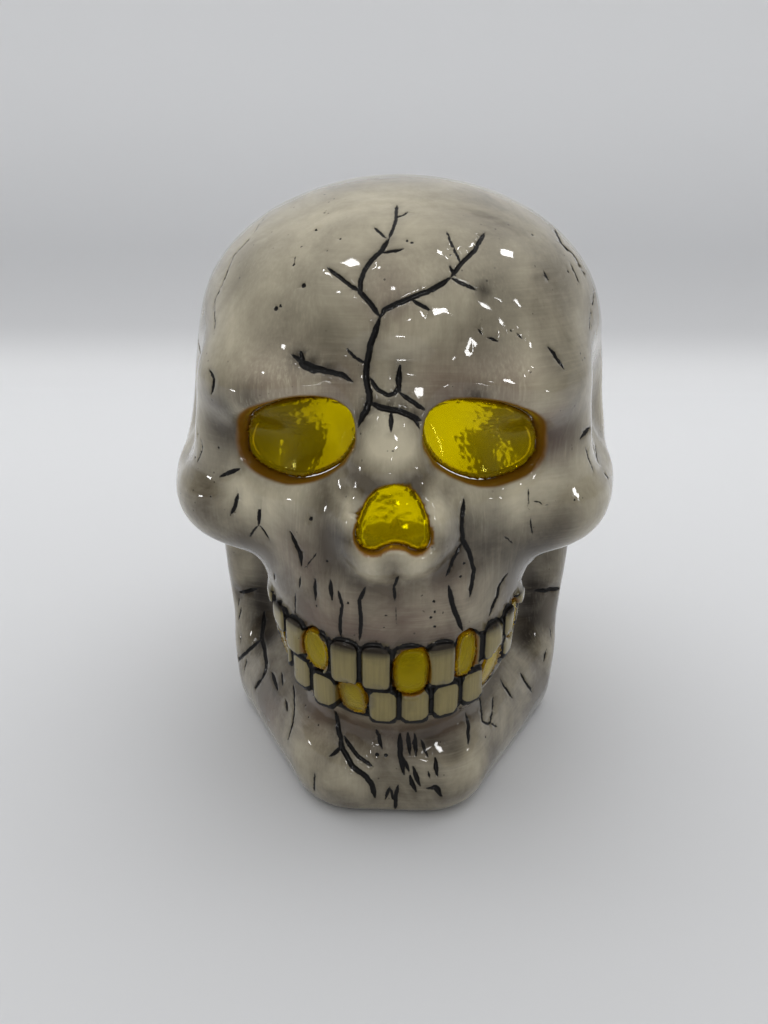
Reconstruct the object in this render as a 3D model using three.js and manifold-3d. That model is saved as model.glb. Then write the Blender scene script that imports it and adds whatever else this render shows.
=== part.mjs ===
// Hollow glazed ceramic skull that holds a votive candle, in millimetres, +Z up.
// The face looks along -Y, and the origin is on the table under the middle of the body.
import * as THREE from 'three';
import { mergeVertices } from 'three/addons/utils/BufferGeometryUtils.js';
import Module from 'manifold-3d';

const wasm = await Module();
wasm.setup();

// Driving sizes of the casting. The fillets between its forms add a millimetre or two to each.
const skullWidth = 134;
const skullDepth = 158;
const skullHeight = 176;
const wallThickness = 6;
const floorThickness = 7;

// Resin panes, which follow the wall a little way in from its face
const paneRecess = 3;
const toothPaneRecess = 0.4;
const paneThickness = 2.6;
const paneClearance = 0.3;

// How far the nose and teeth stand to the right of the middle of this casting
const faceShift = 1.2;

// Eye openings
const eyeSpacing = 53;
const eyeHeight = 116.6;
const eyeFront = 64;
const eyeWidth = 34;
const eyeOpening = 20.5;
const eyeTurn = 26;
const eyeDroop = 20;

// Nose opening
const noseHeight = 101.5;
const noseWidth = 18.2;
const noseOpening = 16.9;

// Teeth, which stand on one arch in plan. Towards its back the bite rises and the teeth get shorter.
const archWidth = 74.6;
const archFront = 72;
const archMiddle = 32;
const teethPerRow = 12;
const toothWidth = 8.5;
const toothProud = 1.5;
const toothDepth = 5;
const biteHeight = 52.8;
const biteRise = 12;
const biteCurvePower = 2.8;
const upperToothHeight = 13.9;
const lowerToothHeight = 12.3;
const upperToothLossShare = 0.6;
const lowerToothLossShare = 0.2;
const lowerRowInset = 2;
const lowerRowShiftShare = 0.2;

// The barrel of the jaws is the clay that carries both rows, so it follows their arch and bite
const barrelHeight = 92;
const barrelRise = 11.6;

// Doorway in the back of the casting
const doorWidth = 72;
const doorTop = 104;

// Votive candle, which stands on the floor inside
const candleDiameter = 46;
const candleHeight = 50;
const candleBack = 30;
const cupWall = 0.8;
const waxDrop = 3;
const wickDiameter = 2.4;
const wickProud = 8;
const tabDiameter = 16;
const tabThickness = 1.2;
const fitClearance = 0.3;

// How far a cutting shape runs past what it cuts
const overrun = 30;

// The barrel in the same shares as the other clay forms
const barrelShares = {
  at: [faceShift / skullWidth, -archMiddle / skullDepth, (biteHeight + barrelRise) / skullHeight],
  half: [archWidth / 2 / skullWidth, (archFront - archMiddle) / skullDepth, barrelHeight / 2 / skullHeight],
};

// Clay forms of the face and cranium. Centres and half sizes are shares of the width, depth and height,
// a round bar's radii and the blends are shares of the width, and turns are in degrees.
const headShares = [
  { form: 'egg', blend: 0.01, at: [0.004, 0.114, 0.637], half: [0.5, 0.414, 0.347] },
  { form: 'egg', blend: 0.164, at: [0.014, -0.082, 0.808], half: [0.396, 0.316, 0.19] },
  { form: 'egg', pair: true, blend: 0.104, at: [0.201, -0.259, 0.727],
    half: [0.172, 0.139, 0.08], turn: [0, 0, -20] },
  { form: 'egg', blend: 0.104, at: [0, -0.241, 0.523], half: [0.28, 0.203, 0.205] },
  { form: 'egg', pair: true, blend: 0.104, at: [0.322, -0.196, 0.532],
    half: [0.142, 0.137, 0.091], turn: [0, 0, -30] },
  { form: 'bar', pair: true, blend: 0.104, at: [0.412, -0.112, 0.575],
    to: [0.404, 0.089, 0.557], round: [0.065, 0.054] },
  { form: 'egg', pair: true, blend: 0.06, at: [0.261, -0.209, 0.642], half: [0.149, 0.114, 0.114] },
  { form: 'egg', pair: true, cut: true, blend: 0.075, at: [0.507, -0.177, 0.676],
    half: [0.075, 0.139, 0.094] },
  { form: 'egg', pair: true, cut: true, blend: 0.09, at: [0.201, -0.544, 0.648], half: [0.149, 0.12, 0.068],
    turn: [0, 0, -14] },
  { form: 'egg', blend: 0.075, at: [0, -0.38, 0.636], half: [0.075, 0.076, 0.114], turn: [-14, 0, 0] },
  { form: 'egg', blend: 0.022, at: [0.009, -0.385, 0.542], half: [0.13, 0.103, 0.086] },
  { form: 'egg', blend: 0.06, ...barrelShares },
  { form: 'egg', blend: 0.075, at: [0.004, -0.263, 0.08], half: [0.175, 0.114, 0.151] },
  { form: 'egg', blend: 0.119, at: [0, 0.152, 0.284], half: [0.373, 0.291, 0.341] },
];

// Clay forms of the lower jaw, its rising branches and the base
const jawShares = [
  { form: 'egg', blend: 0.01, at: [0, 0.152, 0.284], half: [0.373, 0.291, 0.341] },
  { form: 'egg', blend: 0.075, at: [0, -0.038, 0.114], half: [0.254, 0.228, 0.17] },
  { form: 'egg', blend: 0.075, at: [0, 0.133, 0.11], half: [0.36, 0.27, 0.22] },
  { form: 'egg', blend: 0.075, at: [0.004, -0.263, 0.08], half: [0.175, 0.114, 0.151] },
  { form: 'bar', pair: true, blend: 0.075, at: [0.092, -0.266, 0.077],
    to: [0.268, 0.027, 0.061], round: [0.15, 0.16] },
  { form: 'bar', pair: true, blend: 0.075, at: [0.354, 0.063, 0.136],
    to: [0.388, 0.095, 0.523], round: [0.082, 0.09] },
];
const pairBlendShare = 0.06;

// The points that the clay is wrapped from, as shares, and how finely each skin is wrapped
const headCoreShares = [0, 0.03, 0.54];
const jawCoreShares = [0, 0.03, 0.2];
const cavityCoreShares = [0, 0.05, 0.45];
const headDetail = 11;
const jawDetail = 8;
const cavityDetail = 7;
const paneDetail = 14;
const mostSteps = 200;
const stepShare = 0.8;
const finestShare = 0.00005;

// Straight steps in a curved outline, the doorway's arch, the candle and its wick
const outlineSegments = 9;
const archSegments = 16;
const candleSegments = 40;
const wickSegments = 10;

const scaleXYZ = (shares) => new THREE.Vector3(
  shares[0] * skullWidth,
  shares[1] * skullDepth,
  shares[2] * skullHeight,
);

// One clay form as a function that gives a point's distance from its skin
function clayForm(spec) {
  const at = scaleXYZ(spec.at);
  if (spec.form === 'bar') {
    const run = scaleXYZ(spec.to).sub(at);
    const startRadius = spec.round[0] * skullWidth;
    const endRadius = spec.round[1] * skullWidth;
    return (p) => {
      const rel = p.clone().sub(at);
      const share = THREE.MathUtils.clamp(rel.dot(run) / run.lengthSq(), 0, 1);
      return rel.addScaledVector(run, -share).length() - THREE.MathUtils.lerp(startRadius, endRadius, share);
    };
  }
  const half = scaleXYZ(spec.half);
  const turn = (spec.turn ?? [0, 0, 0]).map(THREE.MathUtils.degToRad);
  const unturn = new THREE.Quaternion().setFromEuler(new THREE.Euler(...turn, 'ZYX')).invert();
  return (p) => {
    const rel = p.clone().sub(at).applyQuaternion(unturn).divide(half);
    const reach = rel.length();
    const slope = rel.divide(half).length();
    return slope > 0 ? reach * (reach - 1) / slope : -Math.min(half.x, half.y, half.z);
  };
}

// Two distances joined with a soft fillet
function softMin(a, b, blend) {
  const near = Math.max(blend - Math.abs(a - b), 0) / blend;
  return Math.min(a, b) - near * near * blend / 4;
}

// All forms of a list, as one distance function
function clay(specs) {
  const forms = specs.map((spec) => ({ ...spec, distance: clayForm(spec) }));
  return (p) => {
    const mirrored = new THREE.Vector3(-p.x, p.y, p.z);
    let total = null;
    for (const { distance, pair, cut, blend } of forms) {
      let d = distance(p);
      if (pair) d = softMin(d, distance(mirrored), pairBlendShare * skullWidth);
      if (total === null) total = d;
      else if (cut) total = -softMin(-total, d, blend * skullWidth);
      else total = softMin(total, d, blend * skullWidth);
    }
    return total;
  };
}

const headClay = clay(headShares);
const jawClay = clay(jawShares);
const wholeClay = (p) => softMin(headClay(p), jawClay(p), pairBlendShare * skullWidth);

// Turns a closed geometry into a solid
function toSolid(geometry) {
  const bare = geometry.clone();
  bare.deleteAttribute('normal');
  bare.deleteAttribute('uv');
  const merged = mergeVertices(bare);
  return new wasm.Manifold(new wasm.Mesh({
    numProp: 3,
    vertProperties: new Float32Array(merged.attributes.position.array),
    triVerts: new Uint32Array(merged.index.array),
  }));
}

// Turns a solid back into a geometry
function toGeometry(solid) {
  const mesh = solid.getMesh();
  const geometry = new THREE.BufferGeometry();
  geometry.setAttribute('position', new THREE.BufferAttribute(new Float32Array(mesh.vertProperties), 3));
  geometry.setIndex(new THREE.BufferAttribute(new Uint32Array(mesh.triVerts), 1));
  geometry.computeVertexNormals();
  return geometry;
}

// Wraps a ball of triangles around the clay, at a depth below its skin. From outside, it comes to rest on
// the first skin it meets. From inside, it swells until it is that deep below the skin.
function wrap(field, coreShares, depth, detail, fromInside) {
  const core = scaleXYZ(coreShares);
  const far = skullWidth + skullHeight;
  const finest = finestShare * skullWidth;
  const rough = new THREE.IcosahedronGeometry(1, detail);
  rough.deleteAttribute('normal');
  rough.deleteAttribute('uv');
  const ball = mergeVertices(rough);
  const place = ball.attributes.position;
  const ray = new THREE.Vector3();
  for (let i = 0; i < place.count; i += 1) {
    ray.fromBufferAttribute(place, i).normalize();
    let reach = fromInside ? 0 : far;
    let gap = far;
    for (let step = 0; step < mostSteps && Math.abs(gap) > finest; step += 1) {
      gap = field(core.clone().addScaledVector(ray, reach)) + depth;
      reach -= gap * stepShare;
    }
    const landed = core.clone().addScaledVector(ray, reach);
    place.setXYZ(i, landed.x, landed.y, landed.z);
  }
  return toSolid(ball);
}

// A flat outline pushed along -Y, turned about Z and set at a place on the face
function windowCutter(outline, place, turn) {
  const prism = new THREE.ExtrudeGeometry(outline, {
    depth: 2 * overrun,
    bevelEnabled: false,
    curveSegments: outlineSegments,
  });
  prism.translate(0, 0, -overrun);
  prism.rotateX(Math.PI / 2);
  prism.rotateZ(THREE.MathUtils.degToRad(turn));
  prism.translate(place.x, place.y, place.z);
  return toSolid(prism);
}

// Oval for an eye, a clearance smaller all round for its pane
function eyeOutline(droop, clearance) {
  const outline = new THREE.Shape();
  const tilt = THREE.MathUtils.degToRad(droop);
  outline.absellipse(0, 0, eyeWidth / 2 - clearance, eyeOpening / 2 - clearance, 0, 2 * Math.PI, false, tilt);
  return outline;
}

// Curves of the nose opening from its top, each two handles and an end, in shares of half its size
const noseShares = [
  [[0.55, 1], [1, 0.05], [1, -0.5]],
  [[1, -0.95], [0.7, -1.08], [0.45, -0.85]],
  [[0.25, -0.65], [-0.1, -0.65], [-0.3, -0.85]],
  [[-0.6, -1.12], [-1, -0.95], [-1, -0.5]],
  [[-1, 0.05], [-0.55, 1], [0, 1]],
];

// Round-cornered triangle with an arched foot, for the nose
function noseOutline(clearance) {
  const halfWidth = noseWidth / 2 - clearance;
  const halfHeight = noseOpening / 2 - clearance;
  const outline = new THREE.Shape();
  outline.moveTo(0, halfHeight);
  for (const curve of noseShares) {
    outline.bezierCurveTo(...curve.flatMap(([x, z]) => [x * halfWidth, z * halfHeight]));
  }
  return outline;
}

// Rounded outline for a tooth that is open, squarer as its square share grows
function toothOutline(width, height, squareShare, clearance) {
  const halfWidth = width / 2 - clearance;
  const halfHeight = height / 2 - clearance;
  const outline = new THREE.Shape();
  outline.moveTo(0, halfHeight);
  for (const [sideX, sideZ] of [[1, 1], [1, -1], [-1, -1], [-1, 1]]) {
    const corner = [sideX * halfWidth, sideZ * halfHeight];
    const flat = [corner[0] * squareShare, corner[1]];
    const upright = [corner[0], corner[1] * squareShare];
    if (sideX * sideZ > 0) outline.bezierCurveTo(...flat, ...upright, corner[0], 0);
    else outline.bezierCurveTo(...upright, ...flat, 0, corner[1]);
  }
  return outline;
}

// Place and outward turn on the tooth arch, at a number of teeth from the middle
function archPlace(toothNumber, inset) {
  const halfWidth = archWidth / 2 - inset;
  const halfDepth = archFront - archMiddle - inset;
  const stride = toothWidth / mostSteps;
  let angle = 0;
  let walked = 0;
  while (walked < Math.abs(toothNumber) * toothWidth) {
    angle += stride / Math.hypot(halfWidth * Math.cos(angle), halfDepth * Math.sin(angle));
    walked += stride;
  }
  const side = Math.sign(toothNumber);
  const x = faceShift + side * halfWidth * Math.sin(angle);
  const y = -archMiddle - halfDepth * Math.cos(angle);
  const turn = side * Math.atan2(Math.sin(angle) / halfWidth, Math.cos(angle) / halfDepth);
  return { x, y, turn: THREE.MathUtils.radToDeg(turn) };
}

// Middle, outward turn and height of a tooth
function toothPlace(toothNumber, upper) {
  const backShare = Math.abs(2 * toothNumber / (teethPerRow - 1)) ** biteCurvePower;
  const height = upper
    ? upperToothHeight * (1 - upperToothLossShare * backShare)
    : lowerToothHeight * (1 - lowerToothLossShare * backShare);
  const bite = biteHeight + biteRise * backShare;
  const { x, y, turn } = archPlace(toothNumber, upper ? 0 : lowerRowInset);
  return { x, y, z: upper ? bite + height / 2 : bite - height / 2, turn, height };
}

// How square a tooth is, from 1 for a ball down to 0 for a block, and the share of its pitch that it fills
const toothSquareShare = 0.45;
const toothFillShare = 0.95;

// One tooth: a ball squared off towards a rounded tile
function toothSolid(toothNumber, upper) {
  const { x, y, z, turn, height } = toothPlace(toothNumber, upper);
  const tile = new THREE.IcosahedronGeometry(1, 1);
  const place = tile.attributes.position;
  for (let i = 0; i < place.count; i += 1) {
    const point = [place.getX(i), place.getY(i), place.getZ(i)];
    const soft = point.map((v) => Math.sign(v) * Math.abs(v) ** toothSquareShare);
    place.setXYZ(i, soft[0], soft[1], soft[2]);
  }
  tile.scale(toothFillShare * toothWidth / 2, toothDepth / 2, height / 2);
  tile.translate(0, toothDepth / 2 - toothProud, 0);
  tile.rotateZ(THREE.MathUtils.degToRad(turn));
  tile.translate(x, y, z);
  return toSolid(tile);
}

// Open teeth: place along the arch, row, size in shares of a tooth, and how far the opening is off its middle
const openTeeth = [
  { name: 'lower_left_back_tooth_window', number: -4.5, upper: false,
    widthShare: 0.7, heightShare: 1.15, squareShare: 0.6, rise: -0.9 },
  { name: 'upper_left_canine_window', number: -2.65, upper: true,
    widthShare: 1.06, heightShare: 0.97, squareShare: 0.6, rise: -0.6 },
  { name: 'lower_left_incisor_window', number: -1.36, upper: false,
    widthShare: 0.97, heightShare: 1.08, squareShare: 0.8, rise: -0.3 },
  { name: 'upper_right_incisor_window', number: 0.6, upper: true,
    widthShare: 1.1, heightShare: 1.09, squareShare: 0.75, rise: -2 },
  { name: 'upper_right_canine_window', number: 2.45, upper: true,
    widthShare: 0.77, heightShare: 1.08, squareShare: 0.75, rise: -0.4 },
  { name: 'lower_right_premolar_window', number: 3.65, upper: false,
    widthShare: 1, heightShare: 1.3, squareShare: 0.6, rise: 0.4 },
  { name: 'upper_right_back_tooth_window', number: 5, upper: true,
    widthShare: 0.76, heightShare: 1.6, squareShare: 0.6, rise: -3.5 },
];

// Openings with a resin pane: name, depth of the pane, and a cutter that a clearance shrinks for the pane
function windowSpecs() {
  const specs = [];
  for (const [name, side] of [['left_eye_window', -1], ['right_eye_window', 1]]) {
    const place = new THREE.Vector3(side * eyeSpacing / 2, -eyeFront, eyeHeight);
    const cut = (clearance) => windowCutter(eyeOutline(-side * eyeDroop, clearance), place, side * eyeTurn);
    specs.push({ name, recess: paneRecess, cut });
  }
  const nosePlace = new THREE.Vector3(faceShift, -archFront, noseHeight);
  const cutNose = (clearance) => windowCutter(noseOutline(clearance), nosePlace, 0);
  specs.push({ name: 'nose_window', recess: paneRecess, cut: cutNose });
  for (const tooth of openTeeth) {
    const { x, y, z, turn, height } = toothPlace(tooth.number, tooth.upper);
    const place = new THREE.Vector3(x, y, z + tooth.rise);
    const width = toothWidth * tooth.widthShare;
    const tall = height * tooth.heightShare;
    const outline = (clearance) => toothOutline(width, tall, tooth.squareShare, clearance);
    const cut = (clearance) => windowCutter(outline(clearance), place, turn);
    specs.push({ name: tooth.name, recess: toothPaneRecess, cut });
  }
  return specs;
}

// Doorway outline in X and Z, from the floor to a round top
function doorCutter() {
  const radius = doorWidth / 2;
  const outline = new THREE.Shape();
  outline.moveTo(-radius, floorThickness);
  outline.lineTo(radius, floorThickness);
  outline.lineTo(radius, doorTop - radius);
  outline.absarc(0, doorTop - radius, radius, 0, Math.PI, false);
  const prism = new THREE.ExtrudeGeometry(outline, {
    depth: skullDepth,
    bevelEnabled: false,
    curveSegments: archSegments,
  });
  prism.rotateX(Math.PI / 2);
  prism.translate(0, skullDepth + candleBack, 0);
  return toSolid(prism);
}

// A block below a height, to cut a flat floor or base
function blockBelow(height) {
  const block = new THREE.BoxGeometry(2 * skullWidth, 2 * skullDepth, skullHeight);
  block.translate(0, 0, height - skullHeight / 2);
  return toSolid(block);
}

// The casting: face and jaw joined, teeth added, then hollowed and opened
function castingSolid(windows) {
  let solid = wrap(headClay, headCoreShares, 0, headDetail, false);
  solid = solid.add(wrap(jawClay, jawCoreShares, 0, jawDetail, false));
  for (let i = 0; i < teethPerRow; i += 1) {
    const number = i - (teethPerRow - 1) / 2;
    solid = solid.add(toothSolid(number, true));
    solid = solid.add(toothSolid(number + lowerRowShiftShare, false));
  }
  const cavity = wrap(wholeClay, cavityCoreShares, wallThickness, cavityDetail, true);
  solid = solid.subtract(cavity.subtract(blockBelow(floorThickness)));
  solid = solid.subtract(blockBelow(0)).subtract(doorCutter());
  for (const { cut } of windows) solid = solid.subtract(cut(0));
  return solid;
}

// Surface of revolution about the candle's own axis, standing on the floor inside
function turned(points) {
  const profile = points.map(([r, z]) => new THREE.Vector2(r, z));
  const geometry = new THREE.LatheGeometry(profile, candleSegments);
  geometry.rotateX(Math.PI / 2);
  return geometry;
}

function cupGeometry() {
  const outer = candleDiameter / 2;
  const inner = outer - cupWall;
  return turned([
    [0, 0], [outer, 0], [outer, candleHeight],
    [inner, candleHeight], [inner, cupWall], [0, cupWall],
  ]);
}

const waxBottom = cupWall + fitClearance;
const waxTop = candleHeight - waxDrop;
const wickHole = wickDiameter / 2 + fitClearance;

function waxGeometry() {
  const outer = candleDiameter / 2 - cupWall - fitClearance;
  const tabRoom = tabDiameter / 2 + fitClearance;
  const tabTop = waxBottom + tabThickness + fitClearance;
  return turned([
    [tabRoom, waxBottom], [outer, waxBottom], [outer, waxTop], [wickHole, waxTop],
    [wickHole, tabTop], [tabRoom, tabTop], [tabRoom, waxBottom],
  ]);
}

function tabGeometry() {
  const outer = tabDiameter / 2;
  const top = waxBottom + tabThickness;
  return turned([[0, waxBottom], [outer, waxBottom], [outer, top], [0, top]]);
}

function wickGeometry() {
  const low = waxBottom + tabThickness + fitClearance;
  const radius = wickDiameter / 2;
  const geometry = new THREE.CylinderGeometry(radius, radius, candleHeight + wickProud - low, wickSegments);
  geometry.rotateX(Math.PI / 2);
  geometry.translate(0, 0, (candleHeight + wickProud + low) / 2);
  return geometry;
}

const glaze = new THREE.MeshStandardMaterial({ color: '#a59b87', roughness: 0.12, metalness: 0 });
const resin = new THREE.MeshStandardMaterial({
  color: '#b9a800', roughness: 0.15, metalness: 0, transparent: true, opacity: 0.75,
});
const glass = new THREE.MeshStandardMaterial({
  color: '#cfd6d6', roughness: 0.05, transparent: true, opacity: 0.4,
});
const wax = new THREE.MeshStandardMaterial({ color: '#efe9dc', roughness: 0.5, metalness: 0 });
const cotton = new THREE.MeshStandardMaterial({ color: '#d8d2c2', roughness: 0.9, metalness: 0 });
const tin = new THREE.MeshStandardMaterial({ color: '#a8abad', roughness: 0.35, metalness: 1 });

function named(name, geometry, material) {
  const mesh = new THREE.Mesh(geometry, material);
  mesh.name = name;
  return mesh;
}

const model = new THREE.Group();
const windows = windowSpecs();
const casting = toGeometry(castingSolid(windows));
model.add(named('skull_body', casting, glaze));

// A shell of resin as thick as a pane, at a depth below the face
function paneShell(recess) {
  const front = wrap(headClay, headCoreShares, recess, paneDetail, true);
  return front.subtract(wrap(headClay, headCoreShares, recess + paneThickness, paneDetail, true));
}

const shells = new Map([paneRecess, toothPaneRecess].map((recess) => [recess, paneShell(recess)]));
for (const { name, recess, cut } of windows) {
  const pane = shells.get(recess).intersect(cut(paneClearance));
  model.add(named(name, toGeometry(pane), resin.clone()));
}

const candle = new THREE.Group();
candle.add(named('candle_cup', cupGeometry(), glass));
candle.add(named('candle_wax', waxGeometry(), wax));
candle.add(named('wick_tab', tabGeometry(), tin));
candle.add(named('candle_wick', wickGeometry(), cotton));
candle.position.set(0, candleBack, floorThickness + fitClearance);
model.add(candle);

// The origin goes under the middle of the casting
casting.computeBoundingBox();
const middle = casting.boundingBox.getCenter(new THREE.Vector3());
model.position.set(-middle.x, -middle.y, 0);

export default model;
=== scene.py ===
import math
import random

import bmesh
import bpy
import numpy as np
from mathutils import Matrix, Vector, noise


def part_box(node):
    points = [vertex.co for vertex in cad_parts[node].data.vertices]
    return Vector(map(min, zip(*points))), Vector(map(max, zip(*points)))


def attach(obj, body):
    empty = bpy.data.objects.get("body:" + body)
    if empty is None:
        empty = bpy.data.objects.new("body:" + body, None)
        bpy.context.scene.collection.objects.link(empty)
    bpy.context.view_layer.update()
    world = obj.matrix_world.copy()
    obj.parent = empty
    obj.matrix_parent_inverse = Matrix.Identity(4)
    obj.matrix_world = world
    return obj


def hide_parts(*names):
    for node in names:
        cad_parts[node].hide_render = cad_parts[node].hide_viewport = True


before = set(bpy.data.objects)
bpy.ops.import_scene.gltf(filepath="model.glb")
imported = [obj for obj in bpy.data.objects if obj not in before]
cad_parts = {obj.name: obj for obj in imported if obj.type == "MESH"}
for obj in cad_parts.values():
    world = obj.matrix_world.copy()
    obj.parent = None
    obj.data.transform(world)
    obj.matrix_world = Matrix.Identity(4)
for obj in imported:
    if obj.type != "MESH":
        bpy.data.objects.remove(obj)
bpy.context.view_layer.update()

# A slip-cast skull with a clear gloss glaze, yellow resin windows and a votive candle inside.
# The clay is worked in millimetres, with its face along -Y, and goes to the frame in metres at the end.
mm = 0.001

photo = {
    "width": 768,
    "height": 1024,
    "focalPixels": 790,
    "cameraAt": (5.07, -245.56, 173.27),
    "lookAt": (-3.5, 0, 74),
    "sensor": 36,
}

skull = {
    "width": 134,
    "depth": 158,
    "height": 176,
    "wall": 6,
    "floor": 7,
    "faceShift": 1.2,
    "skinInset": 0.12,
    "jawFillet": 2.5,
    "cavityFillet": 8,
    "baseRound": 3.5,
    "innerRound": 2,
    "doorRound": 4,
    "unevenness": 0.22,
    "unevenGrain": 17,
    "fineShare": 0.4,
    "finer": 3,
}

eyes = {
    "spacing": 53,
    "height": 116.6,
    "front": 64,
    "width": 34,
    "opening": 20.5,
    "turn": 26,
    "droop": 20,
    "rim": 3,
}
nose = {"height": 101.5, "width": 18.2, "opening": 16.9, "front": 72, "rim": 2}
arch = {
    "width": 74.6,
    "front": 72,
    "middle": 32,
    "teeth": 12,
    "pitch": 8.5,
    "proud": 1.5,
    "deep": 5,
    "bite": 52.8,
    "biteRise": 12,
    "bitePower": 2.8,
    "upper": 13.9,
    "lower": 12.3,
    "upperLoss": 0.6,
    "lowerLoss": 0.2,
    "lowerInset": 2,
    "lowerShift": 0.2,
    "barrelHeight": 92,
    "barrelRise": 11.6,
    "corner": 1.9,
    "gumArch": 0.9,
    "bevel": 1.1,
    "fill": 0.97,
    "short": 0.25,
    "belly": 0.42,
    "blend": 0.7,
    "rim": 1.2,
    "steps": 200,
    "nearUp": 4,
    "nearBack": 20,
    "nearSkin": 8,
}
door = {"width": 72, "top": 104, "from": 30, "sillFillet": 3, "backFillet": 2, "near": 6}
# how far an opening's cut reaches into the head, and how far round it points are asked, in mm
reaches = {"deep": 26, "cut": 8, "mesh": 6, "spare": 1.05}
# walking along a ray: share of the gap to go at once, gap that counts as there, and lost, in mm
walking = {"share": 0.85, "there": 0.01, "lost": 500}
pane = {
    "recess": 3,
    "toothRecess": 0.4,
    "thick": 2.6,
    "meniscus": 1.1,
    "meniscusWidth": 1.5,
    "edge": 0.5,
    "lumps": 0.22,
    "lumpGrain": 1.6,
    "fineShare": 0.5,
    "finer": 2.5,
    "backFade": (-0.8, -0.2),
    "voxel": 0.55,
    "toothVoxel": 0.4,
    "rimWidth": 1.3,
    "upperRimWidth": 1.6,
    "lowerRimWidth": 2.6,
}
candle = {"back": 30}

cupLow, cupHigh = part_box("candle_cup")
clayShift = (cupLow + cupHigh) / 2 / mm - Vector((0, candle["back"], 0))
clayShift = np.array([clayShift.x, clayShift.y, 0])
print("clay frame to part frame, mm:", clayShift)


# Clay forms in shares of width, depth and height: eggs, and round bars where there is a "to".
# Bars' radii and all fillets are shares of the width.
barrel = {
    "at": (
        skull["faceShift"] / skull["width"],
        -arch["middle"] / skull["depth"],
        (arch["bite"] + arch["barrelRise"]) / skull["height"],
    ),
    "half": (
        arch["width"] / 2 / skull["width"],
        (arch["front"] - arch["middle"]) / skull["depth"],
        arch["barrelHeight"] / 2 / skull["height"],
    ),
}
headShares = [
    {"blend": 0.01, "at": (0.004, 0.114, 0.637), "half": (0.5, 0.414, 0.347)},
    {"blend": 0.164, "at": (0.014, -0.082, 0.808), "half": (0.396, 0.316, 0.19)},
    {"pair": True, "blend": 0.104, "at": (0.201, -0.259, 0.727), "half": (0.172, 0.139, 0.08),
     "turn": (0, 0, -20)},
    {"blend": 0.104, "at": (0, -0.241, 0.523), "half": (0.28, 0.203, 0.205)},
    {"pair": True, "blend": 0.104, "at": (0.322, -0.196, 0.532), "half": (0.142, 0.137, 0.091),
     "turn": (0, 0, -30)},
    {"pair": True, "blend": 0.104, "at": (0.412, -0.112, 0.575), "to": (0.404, 0.089, 0.557),
     "round": (0.065, 0.054)},
    {"pair": True, "blend": 0.06, "at": (0.261, -0.209, 0.642),
     "half": (0.149, 0.114, 0.114)},
    {"pair": True, "cut": True, "blend": 0.075, "at": (0.507, -0.177, 0.676),
     "half": (0.075, 0.139, 0.094)},
    {"pair": True, "cut": True, "blend": 0.09, "at": (0.201, -0.544, 0.648),
     "half": (0.149, 0.12, 0.068), "turn": (0, 0, -14)},
    {"blend": 0.075, "at": (0, -0.38, 0.636), "half": (0.075, 0.076, 0.114),
     "turn": (-14, 0, 0)},
    {"blend": 0.022, "at": (0.009, -0.385, 0.542), "half": (0.13, 0.103, 0.086)},
    {"blend": 0.06, **barrel},
    {"blend": 0.075, "at": (0.004, -0.263, 0.08), "half": (0.175, 0.114, 0.151)},
    {"blend": 0.119, "at": (0, 0.152, 0.284), "half": (0.373, 0.291, 0.341)},
]
jawShares = [
    {"blend": 0.01, "at": (0, 0.152, 0.284), "half": (0.373, 0.291, 0.341)},
    {"blend": 0.075, "at": (0, -0.038, 0.114), "half": (0.254, 0.228, 0.17)},
    {"blend": 0.075, "at": (0, 0.133, 0.11), "half": (0.36, 0.27, 0.22)},
    {"blend": 0.075, "at": (0.004, -0.263, 0.08), "half": (0.175, 0.114, 0.151)},
    {"pair": True, "blend": 0.075, "at": (0.092, -0.266, 0.077), "to": (0.268, 0.027, 0.061),
     "round": (0.15, 0.16)},
    {"pair": True, "blend": 0.075, "at": (0.354, 0.063, 0.136), "to": (0.388, 0.095, 0.523),
     "round": (0.082, 0.09)},
]
pairBlendShare = 0.06
skullSize = np.array([skull["width"], skull["depth"], skull["height"]], float)
mirrorX = np.array([-1.0, 1.0, 1.0])


def softMin(a, b, blend):
    near = np.maximum(blend - np.abs(a - b), 0) / blend
    return np.minimum(a, b) - near * near * blend / 4


def softMax(a, b, blend):
    return -softMin(-a, -b, blend)


def smoothStep(low, high, value):
    t = np.clip((value - low) / (high - low), 0, 1)
    return t * t * (3 - 2 * t)


def turnMatrix(degrees):
    x, y, z = (math.radians(d) for d in degrees)
    return np.array(Matrix.Rotation(z, 3, "Z") @ Matrix.Rotation(y, 3, "Y") @ Matrix.Rotation(x, 3, "X"))


def formDistance(points, form):
    at = np.array(form["at"]) * skullSize
    rel = points - at
    if "to" in form:
        run = np.array(form["to"]) * skullSize - at
        share = np.clip(rel @ run / (run @ run), 0, 1)
        radius = (form["round"][0] * (1 - share) + form["round"][1] * share) * skull["width"]
        return np.linalg.norm(rel - share[:, None] * run, axis=1) - radius
    if "turn" in form:
        rel = rel @ turnMatrix(form["turn"])
    half = np.array(form["half"]) * skullSize
    rel = rel / half
    reach = np.linalg.norm(rel, axis=1)
    slope = np.linalg.norm(rel / half, axis=1)
    return reach * (reach - 1) / np.maximum(slope, 1e-6)


def clay(points, shares):
    total = None
    for form in shares:
        d = formDistance(points, form)
        if form.get("pair"):
            d = softMin(d, formDistance(points * mirrorX, form), pairBlendShare * skull["width"])
        if total is None:
            total = d
        elif form.get("cut"):
            total = softMax(total, -d, form["blend"] * skull["width"])
        else:
            total = softMin(total, d, form["blend"] * skull["width"])
    return total


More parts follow.
